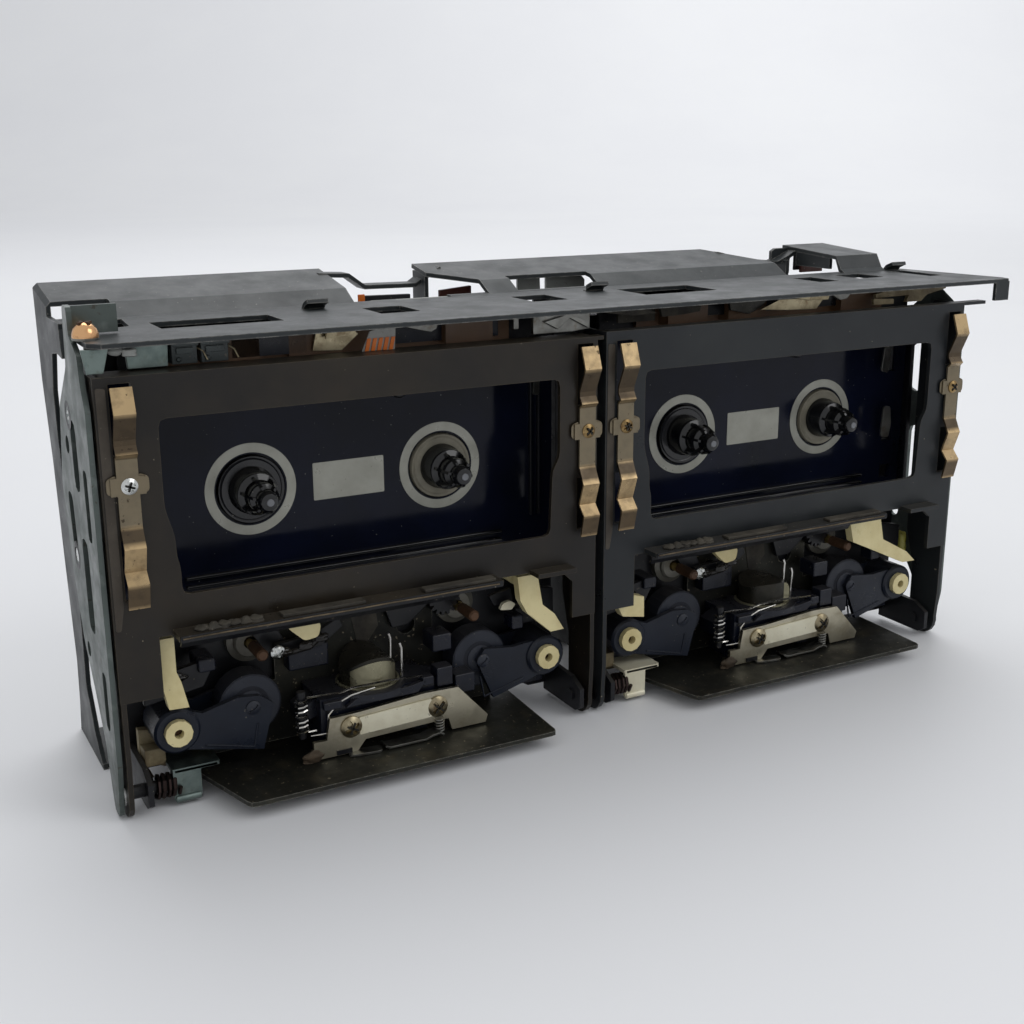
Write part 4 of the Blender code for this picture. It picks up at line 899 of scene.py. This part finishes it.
def works(deck):
    """Bearings, levers, latches and dirt on the chassis between the pinch arms and the window."""
    for side, word in ((-1, "left"), (1, "right")):
        x = side * CAPSTAN_X
        housing = turned("Y", (x, CAPSTAN_Z), [
            (1.35, 13.4), (3, 13.5), (3.4, 13.9), (3.4, 14.6), (4.6, 15), (4.6, 16.9),
            (1.35, 16.9), (1.35, 13.4)], 40)
        piece(deck, f"capstan_bearing_{word}", [housing], "bearing_grey")
        sleeve = turned("Y", (x, CAPSTAN_Z), [
            (0, CAPSTAN_TIP - 0.2), (0.9, CAPSTAN_TIP - 0.2), (1.25, CAPSTAN_TIP + 0.2), (1.25, 11),
            (0, 11)], 32)
        piece(deck, f"capstan_sleeve_{word}", [sleeve], "rust", f"flywheel_{word}")
    levers = [
        sheet("Y", 12.4, 13.6, [(-46, 34.8), (-28, 36.6), (-20, 33.8), (-16.4, 26.6), (-20.6, 25.2),
                                (-25, 31.6), (-33, 33), (-45, 30.2)]),
        sheet("Y", 10.6, 12, [(-19.6, 24.4), (-9.6, 25.4), (-4.4, 29.2), (-5.4, 31.2), (-12, 28),
                                (-19.6, 27.6)]),
        sheet("Y", 13.4, 14.8, [(6.4, 30), (16.6, 36.6), (33, 36.8), (30, 30.6), (20.6, 32.6),
                                (12, 25.6), (8, 25.4)]),
        sheet("Y", 10.4, 11.6, [(31.6, 27.4), (36.8, 27.6), (36, 31), (30.4, 29.8)]),
        sheet("Y", 8.6, 10.2, [(-47.6, 20.4), (-35.4, 22.4), (-33.8, 25.4), (-36, 27.6), (-47.6, 25.6)]),
        sheet("Y", 11, 12.6, [(35.4, 21.4), (47.4, 21.8), (47.4, 29), (40.4, 30.6)])]
    piece(deck, "lever_set", levers, "works_black", bevel=0.25)
    blocks = [
        cuboid((-16.6, -7.6), (11.4, 15), (20.6, 25.8)), cuboid((14.6, 19.2), (6.6, 12.4), (20.6, 24.6)),
        cuboid((-36.6, -33), (7.6, 14.8), (25.6, 28.4)), cuboid((34.8, 37.8), (7.7, 12), (21.8, 25.2)),
        cuboid((-44.6, -38), (11.6, 16.9), (6.4, 12.2)), cuboid((38.4, 45), (11.6, 16.9), (6.4, 12.2)),
        cuboid((-6.4, 9), (12.4, 15.2), (31.2, 35))]
    piece(deck, "housing_blocks", blocks, "navy_plastic", bevel=0.45)
    plate = sheet("Y", 15.14, 15.27, [(-2.4, 36.6), (4, 36.6), (5.4, 26), (2.6, 22.4), (0.4, 22.6)])
    piece(deck, "dusty_plate", [plate], "dust_bar")
    chain = [wire([(-19.8, 9.2, 27), (-17, 9, 26), (-12.6, 9.2, 26.4), (-9.4, 9.4, 28.6)], 0.7)]
    chain += [lump((x, 8.7, z), (1.5, 0.9, 1), x) for x, z in ((-18, 26.4), (-13.6, 27), (-10, 28.2))]
    piece(deck, "greased_link", chain, "grease")
    piece(deck, "link_screw", [screw_head("-Y", (-19.8, 8.3, 26.8), 1.5, 0.7, 15)],
          "bright_screw")
    finger = sheet("Y", 4.8, 6.8, rounded([
        (-21, 36.6), (-13.4, 36.4), (-11.4, 32.4), (-12, 30), (-15, 29.6), (-18, 32.4)], 0.8))
    piece(deck, "tape_finger", [finger], "cream_plastic", bevel=0.3)
    latch = [
        sheet("Y", 8.2, 9.2, rounded([(32, 27), (35, 26.6), (36, 27.8), (34.6, 28.8), (32.8, 28.4)], 0.4)),
        sheet("Y", 9.2, 9.8, rounded([(37, 28.8), (39.2, 28.6), (39, 30), (37.6, 29.8)], 0.3))]
    piece(deck, "latch_bright", latch, "bright_leaf", bevel=0.1)
    base = [
        sheet("Y", 12, 14, [(-48.6, 14.2), (-40.6, 13), (-33.6, 9.6), (-34.4, 7.4), (-37.8, 7.4),
                                (-38.6, 5), (-44, 5.2), (-48.6, 7.6)]),
        cuboid((-48.4, -44.2), (8.4, 12.2), (7.4, 11))]
    piece(deck, "dirty_base", base, "dirty_cream", bevel=0.3)
    tray = [
        sheet("Z", 7.3, 8.1, rounded(oblong((-44.4, -34.6), (3.4, 11.6)), 0.6)),
        sheet("Y", 3.4, 4.2, rounded([(-44.2, 1.4), (-41, 1), (-38.6, 1.3), (-38.6, 7.2), (-34.8, 7.3),
                                      (-34.8, 7.8), (-44.2, 7.8)], 0.25)),
        rod("X", (3.6, 1.6), -44, -38.8, 0.8)]
    look = "zinc_green" if deck.side == "left" else "bright_leaf"
    piece(deck, "corner_tray", tray, look, bevel=0.12)
    grease = [lump((-37, 11.6, 24), (2.4, 1.1, 1.3), 1), lump((38.6, 11, 26.4), (1.4, 0.8, 1), 3),
              lump((-41, 8.7, 25.2), (2.4, 0.9, 1.1), 4)]
    piece(deck, "grease_lumps", grease, "grease")
    gears = [sheet("Y", 12.6, 15, toothed(-12, 33.6, 3.4, 4.2, 18)),
             sheet("Y", 12.4, 15, toothed(20.4, 30.4, 3, 3.8, 16))]
    piece(deck, "small_gears", gears, "works_black")


# ---- under the top bracket

def top_works(deck):
    """The dark walls and cover that close the gap over the doors, and what shows in front of them."""
    reach = 59 if deck.side == "left" else 46
    cover = [
        sheet("Z", 88.9, 89.6, rounded([(-46, 18.6), (reach, 18.6), (reach, 45.2), (-46, 45.2)], 1)),
        cuboid((-46, reach), (44.2, 45.2), (89.2, 92.7)),
        cuboid((-46, 46), (14, 15.2), (85.4, 92.4))]
    if deck.side == "left":
        cover.append(cuboid((51.6, 55.4), (17.6, 24), (44, 88.8)))
    piece(deck, "dark_cover", cover, "works_black", bevel=0.2)
    screws = [screw_head("+Z", (x, 22 + 1.2 * (x % 5), 89.6), 1.6, 0.7, 7 * x)
              for x in (-30, 2, 33)]
    piece(deck, "cover_screws", screws, "old_screw")
    if deck.side == "left":
        left_gap(deck)
    else:
        right_gap(deck)


def gap_plates(deck, name, look, outlines):
    """Flat pieces that stand upright in the gap under the top bracket, each at its own depth."""
    parts = [sheet("Y", y, y + depth, outline) for y, depth, outline in outlines]
    piece(deck, name, parts, look, bevel=0.15)


def left_gap(deck):
    """What shows between the left door's top and the bracket."""
    for number, (x, width) in enumerate(((-37.6, 4.8), (-32, 5.2))):
        body = [cuboid((x, x + width), (6.4, 9.6), (88.3, 91.7)),
                cuboid((x - 0.2, x + width + 0.2), (5.8, 9.8), (91.7, 92.3)),
                cuboid((x + 0.8, x + width - 0.8), (5.9, 6.5), (90.2, 91.4)),
                rod("Y", (x + 1.2, 89.2), 5.9, 6.5, 0.5, 16)]
        piece(deck, f"leaf_switch_{number}", body, "smoke_plastic", bevel=0.2)
        end = x + width
        leaf = wire([(end, 7.2, 91.2), (end + 1.2, 6.4, 90.4), (end + 1.8, 6, 88.8)], 0.2)
        piece(deck, f"switch_leaf_{number}", [leaf], "old_screw")
    gap_plates(deck, "corner_gusset", "zinc_green", [
        (1.6, 0.8, [(-54.9, 92.9), (-50, 92.9), (-51.2, 88.4), (-54.2, 88.4)]),
        (4.6, 0.8, [(-46.6, 92.9), (-38.6, 92.9), (-38.8, 88.4), (-46.2, 88.4)])])
    cream = [lump((-48.4, 4.2, 92), (1.7, 0.9, 0.8), 0.6), lump((-45.9, 3.6, 91.6), (1.3, 0.8, 0.9), 2.2)]
    piece(deck, "corner_bushes", cream, "pale_grey")
    gap_plates(deck, "solenoid_box", "navy_plastic", [
        (8.6, 4, [(-25.6, 88.2), (-25.6, 92.7), (-10.2, 92.7), (-10.2, 88.2)]),
        (10.6, 2, [(8.8, 88.2), (8.8, 92.7), (33.4, 92.7), (33.4, 88.2)])])
    gap_plates(deck, "contact_plate", "old_screw", [
        (7.4, 0.8, [(-9.6, 88.6), (-3.4, 88.3), (0.4, 91.4), (-2, 92.4), (-8.8, 92.2)]),
        (5.8, 0.7, [(-7.4, 91), (-0.6, 91.6), (-1.4, 92.8), (-7, 92.7)])])
    gap_plates(deck, "ribbon_cable", "film", [
        (5, 0.3, [(-0.2, 88), (7, 88), (7.3, 92.4), (4.4, 92.8), (1.6, 92)])])
    stripe = [sheet("Y", 4.75, 4.98, [(x, 88.1), (x + 0.8, 88.1), (x + 1.4, 90.6), (x + 0.6, 90.6)])
              for x in (0.4, 1.7, 3, 4.3, 5.6)]
    piece(deck, "ribbon_contacts", stripe, "orange_film")
    gap_plates(deck, "hanging_tag", "dull_steel", [
        (5.6, 0.6, [(8.6, 92.9), (17, 92.9), (16.6, 91.4), (15.4, 90.8), (13.4, 91.2), (9.4, 92.2)]),
        (6.6, 0.6, [(35, 92.8), (35, 89.8), (36.2, 89.8), (36.2, 92.8)])])
    gap_plates(deck, "zinc_end_plate", "dull_steel", [
        (4.2, 1, [(38.4, 92.9), (38.4, 88.8), (48, 88.8), (52.4, 89.2), (52.4, 92.9)]),
        (3.4, 0.8, [(40.6, 91.4), (44, 89.6), (47, 91.8), (51.6, 89.4), (51.8, 90.6), (46.8, 92.7)])])
    gap_plates(deck, "rear_orange", "orange_film", [
        (45.6, 0.4, [(15.6, 91.8), (15.6, 94.6), (17.3, 94.6), (17.3, 91.8)])])
    gap_plates(deck, "rear_bar", "works_black", [
        (45.8, 1.2, [(17.4, 91.8), (17.4, 94.2), (28.8, 94), (28.8, 91.8)])])
    gap_plates(deck, "rear_strip", "pale_grey", [
        (38.2, 0.8, [(15.8, 92.2), (15.8, 93.9), (43.6, 93.8), (43.6, 92.2)])])
    gap_plates(deck, "rear_board", "red_brown", [
        (50, 1.2, [(38.4, 91.6), (38.4, 93.9), (46.8, 94.6), (46.8, 91.6)])])


def right_gap(deck):
    """What shows between the right door's top and the bracket, and behind its notch and tongue."""
    gap_plates(deck, "folded_tabs", "dust_bar", [
        (5.2, 0.8, [(-50.3, 92.9), (-41, 92.9), (-36, 91.2), (-42.6, 91), (-49.5, 92)]),
        (7, 0.9, [(-34.6, 92.8), (-22.6, 92.8), (-23.4, 90.6), (-27.8, 90.2), (-33.7, 90)]),
        (9.4, 0.8, [(-44, 92.8), (-34, 92.8), (-34, 89), (-44, 89)])])
    gap_plates(deck, "relay_box", "works_black", [
        (10.4, 3, [(-22, 89), (-22, 92.7), (28, 92.7), (28, 89)])])
    gap_plates(deck, "brown_bracket", "case_dark", [
        (6.2, 0.9, [(-15.8, 92.8), (-4, 92.8), (-6.3, 90.7), (-9.8, 89.2), (-15.3, 90.4)])])
    gap_plates(deck, "glossy_plate", "old_screw", [
        (5, 0.7, [(-7.8, 90.2), (-2.4, 92.2), (11.6, 92), (9.2, 89.3), (0, 89.6)]),
        (3.4, 0.6, [(-1, 92.9), (11.8, 92.8), (11.4, 91.6), (5.2, 91.8)])])
    gap_plates(deck, "light_tab", "dull_steel", [
        (5.4, 0.8, [(13.5, 92.8), (20.4, 92.8), (19, 91.2), (16.6, 91)])])
    gap_plates(deck, "pale_bracket", "dirty_cream", [
        (6.2, 1, [(28.9, 91.6), (34, 92.6), (52.4, 92.8), (52.4, 91.8), (46.1, 90.6), (44.2, 89.1),
                    (38.9, 89.1), (39.8, 90.8), (29, 90.6)]),
        (4.4, 0.8, [(26.6, 90.8), (33.2, 90.4), (33.3, 89.2), (26.7, 89.3)])])
    gap_plates(deck, "notch_plates", "pale_grey", [
        (49, 1, [(-47.8, 91.8), (-47.8, 95.6), (-46.8, 96.2), (-41.6, 96), (-41.4, 91.8)]),
        (49, 1, [(-39.8, 91.8), (-39.8, 95.8), (-29.4, 95.5), (-28.6, 94.6), (-28.6, 91.8)])])
    gap_plates(deck, "slot_plates", "pale_grey", [
        (35, 1, [(-58.6, 89.8), (-58.6, 92.2), (-53.8, 92.2), (-53.8, 89.8)]),
        (35, 1, [(24.4, 89.8), (24.4, 92.4), (28.4, 92.2), (28.4, 89.8)])])
    gap_plates(deck, "tongue_wall", "works_black", [
        (54.4, 0.8, [(43.4, 93), (43.4, 97.8), (53, 97.8), (53, 93)])])
    gap_plates(deck, "tongue_board", "red_brown", [
        (53, 0.9, [(44.6, 92.4), (44.6, 94.2), (52.4, 94.4), (52.4, 92.4)])])


# ---- sides and back

def back_details(deck):
    """Motor ends, terminals and vents, thrust caps, flywheel rings, screws, idler gears and levers."""
    end = turned("Y", MOTOR_AXIS, [
        (4.4, 67.1), (15.2, 67.1), (15.6, 67.3), (15.6, 67.9), (14.2, 67.9), (13.8, 67.4), (7.4, 67.4),
        (7, 67.9), (4.9, 67.9), (4.4, 67.6), (4.4, 67.1)], 64)
    piece(deck, "motor_end", [end], "dull_steel")
    bands = [turned("Y", MOTOR_AXIS, [
        (15.9, y), (16.25, y + 0.3), (16.25, y + 1.3), (15.9, y + 1.6), (15.9, y)], 64) for y in (49.4, 63.2)]
    piece(deck, "motor_bands", bands, "motor_can")
    vents = []
    for turn in range(0, 360, 45):
        arc = [(9.2 * math.cos(a), MOTOR_AXIS[1] + 9.2 * math.sin(a))
               for a in [math.radians(turn + 4 * step) for step in range(7)]]
        outer = [(12 * math.cos(a), MOTOR_AXIS[1] + 12 * math.sin(a))
                 for a in [math.radians(turn + 4 * step) for step in range(6, -1, -1)]]
        vents.append(sheet("Y", 67.5, 67.75, arc + outer))
    piece(deck, "motor_vents", vents, "works_black")
    terminals = [sheet("X", x, x + 0.5, rounded([(66.9, 59), (69.4, 59.4), (69.4, 61.4), (66.9, 61.8)], 0.5))
                 for x in (-3.2, 2.7)]
    piece(deck, "motor_terminals", terminals, "gold")
    for side, word in ((-1, "left"), (1, "right")):
        x = side * CAPSTAN_X
        thrust = [turned("Y", (x, CAPSTAN_Z), [
            (0, 47.1), (4.6, 47.1), (4.6, 48.2), (3.6, 49), (2.6, 49), (2.4, 49.6), (0, 49.6)], 40),
            screw_head("+Y", (x, 49.5, CAPSTAN_Z), 1.9, 0.5, 20, False)]
        piece(deck, f"thrust_cap_{word}", thrust, "grey_plastic")
        grooves = [turned("Y", (x, CAPSTAN_Z), [
            (radius - 0.4, 35.9), (radius, 35.7), (radius + 0.5, 35.7), (radius + 0.9, 35.9),
            (radius + 0.9, 36.5), (radius - 0.4, 36.5), (radius - 0.4, 35.9)], 72) for radius in (16, 17.6)]
        piece(deck, f"flywheel_rings_{word}", grooves, "brass", f"flywheel_{word}")
        for z in (10, 84):
            head = screw_head("+Y", (side * 44, 47.3, z), 2.2, 0.9, 33 * side + z)
            piece(deck, f"bracket_screw_{word}_{round(z)}", [head], "bright_screw")
        head = screw_head("+Y", (side * 12, 47.3, 56 + 6 * side), 1.8, 0.8, 12)
        piece(deck, f"motor_screw_{word}", [head], "old_screw")
    gears = [sheet("Y", 18.7, 20.6, toothed(0, IDLER_Z, 8.6, 9.6, 40), [circle(0, IDLER_Z, 2, 20)]),
             sheet("Y", 20.7, 21.9, toothed(0, IDLER_Z, 4.4, 5.2, 22)),
             sheet("Y", 18.7, 20.9, toothed(0, UPPER_GEAR_Z, 6.6, 7.6, 32),
                   [circle(0, UPPER_GEAR_Z, 1.6, 20)])]
    piece(deck, "idler_gears", gears, "grey_plastic")
    rails = [wire([(-40, 20, 48), (-30, 19.6, 50), (30, 19.6, 50), (40, 20, 47)], 0.6),
             cuboid((-38, -30), (18.5, 21.6), (64, 82)),
             cuboid((31, 40), (18.5, 21), (62, 80))]
    piece(deck, "back_levers", rails, "works_black", bevel=0.3)


def side_details(deck):
    """Rivets on the outer side plate, and the dark slide and grease behind it."""
    near = deck.door + deck.outer * (DOOR_HALF + SIDE_PLATE_FACE)
    facing = "-X" if deck.side == "left" else "+X"
    for number, (y, z) in enumerate(((18.6, 78.3), (23, 49.2))):
        ring_out = [(2.9, -0.2), (2.9, 0.02), (2.2, 0.09), (1.7, 0.03), (1.7, -0.2), (2.9, -0.2)]
        ring = turned("X", (y, z), [(r, near + deck.outer * h) for r, h in ring_out], 40)
        piece(deck, f"rivet_ring_{number}", [ring], "works_black")
        head = screw_head(facing, (near - deck.outer * 0.16, y, z), 1.6, 0.24, 18)
        piece(deck, f"rivet_{number}", [head], "bright_screw")
    inner = deck.door + deck.outer * (DOOR_HALF - 1.4)
    slide = sheet("X", *sorted((inner, inner - deck.outer * 1.2)), rounded([
        (14, 40), (17, 40), (17.4, 78), (14.4, 80)], 0.8))
    piece(deck, "side_slide", [slide], "works_black", bevel=0.15)
    grease = lump((near - deck.outer * 2.4, 14.6, 22.4), (1.2, 1.6, 3.4), 2)
    piece(deck, "side_grease", [grease], "yellow_grease")


def corner_screw(deck):
    """The copper-coloured screw that holds the top bracket's left corner."""
    centre = Matrix.Translation((*CORNER_SCREW, 0))
    dome = turned("Z", CORNER_SCREW, [
        (0, 97.2), (0.8, 97.1), (1.5, 96.7), (2.1, 96), (2.4, 95.1), (2.4, 94.4),
        (0, 94.4)][::-1], 48)
    # painted shade: dark bars in the rust look, drawn where the screw's slots are
    slots = [moved(cuboid((-1.5, 1.5), (-0.25, 0.25), (96.8, 97.25)), centre @ Matrix.Rotation(turn, 4, "Z"))
             for turn in (0.5, 2.07)]
    piece(deck, "corner_screw", [dome], "copper_screw")
    piece(deck, "corner_slot_shade", slots, "rust")
    washer = turned("Z", CORNER_SCREW, [
        (1.8, 94), (2.45, 94), (2.45, 94.4), (1.8, 94.4), (1.8, 94)], 40)
    piece(deck, "corner_washer", [washer], "dull_steel")


# ---- stage

def stage(deck):
    """Pale floor that curves up into a backdrop, soft light and the camera."""
    depth, turn, height, reach = 2.2, 1.6, 3.6, 6.0
    profile = [(-2.6, 0.0), (depth, 0.0)]
    profile += [(depth + turn * math.sin(a), turn * (1 - math.cos(a)))
                for a in [math.pi / 2 * step / 32 for step in range(1, 33)]]
    profile.append((depth + turn, height))
    mesh = bmesh.new()
    rows = [[mesh.verts.new((x, y, z)) for y, z in profile] for x in (-reach, reach)]
    for index in range(len(profile) - 1):
        mesh.faces.new((rows[0][index], rows[1][index], rows[1][index + 1], rows[0][index + 1]))
    data = bpy.data.meshes.new("floor")
    mesh.to_mesh(data)
    mesh.free()
    data.shade_smooth()
    floor = bpy.data.objects.new("floor", data)
    floor.rotation_euler.z = math.radians(-28.0)
    finish = Finish("studio_floor", (228, 229, 231), 0.5)
    finish.mottle((224, 225, 228), 2.0, 0.4, 0.6, 0.6)
    data.materials.append(finish.done())
    bpy.context.scene.collection.objects.link(floor)

    world = bpy.data.worlds.new("studio")
    world.use_nodes = True
    world.node_tree.nodes["Background"].inputs["Color"].default_value = (0.97, 0.98, 1.0, 1.0)
    world.node_tree.nodes["Background"].inputs["Strength"].default_value = 0.68
    bpy.context.scene.world = world

    for name, place, aim, size, power in (
            ("window", (0.25, 0.75, 1.25), (0.0, 0.0, 0.0), 1.3, 8.0),
            ("right_fill", (1.0, -1.2, 1.3), (0.0, -0.3, 0.0), 1.2, 7.0),
            ("backdrop", (1.6, 1.2, 1.9), (2.0, 3.4, 0.9), 1.6, 24.0)):
        lamp = bpy.data.lights.new(name, "AREA")
        lamp.shape = "DISK"
        lamp.size = size
        lamp.energy = power
        holder = bpy.data.objects.new(name, lamp)
        holder.location = place
        holder.rotation_euler = (Vector(aim) - Vector(place)).to_track_quat("-Z", "Y").to_euler()
        bpy.context.scene.collection.objects.link(holder)

    camera = bpy.data.cameras.new("camera")
    camera.lens = 46.837
    camera.sensor_width = 36.0
    camera.clip_start = 0.01
    right = Vector((0.88042, -0.47417, -0.00518))
    up = Vector((0.13135, 0.23337, 0.96348))
    forward = Vector((0.45564, 0.84894, -0.26775))
    viewer = bpy.data.objects.new("camera", camera)
    turned_view = Matrix((right, up, -forward)).transposed().to_4x4()
    stand = deck.place @ Vector((-98.75, -241.37, 128.11))
    viewer.matrix_world = Matrix.Translation(stand) @ turned_view
    bpy.context.scene.collection.objects.link(viewer)
    bpy.context.scene.camera = viewer
    bpy.context.scene.view_settings.view_transform = "Standard"


# ---- the whole scene

DECKS = (Deck("left"), Deck("right"))
repaint()
for each in DECKS:
    for build in (well_details, door_details, arm_details, head_details, works, top_works, back_details,
                  side_details):
        build(each)
corner_screw(DECKS[0])
stage(DECKS[0])
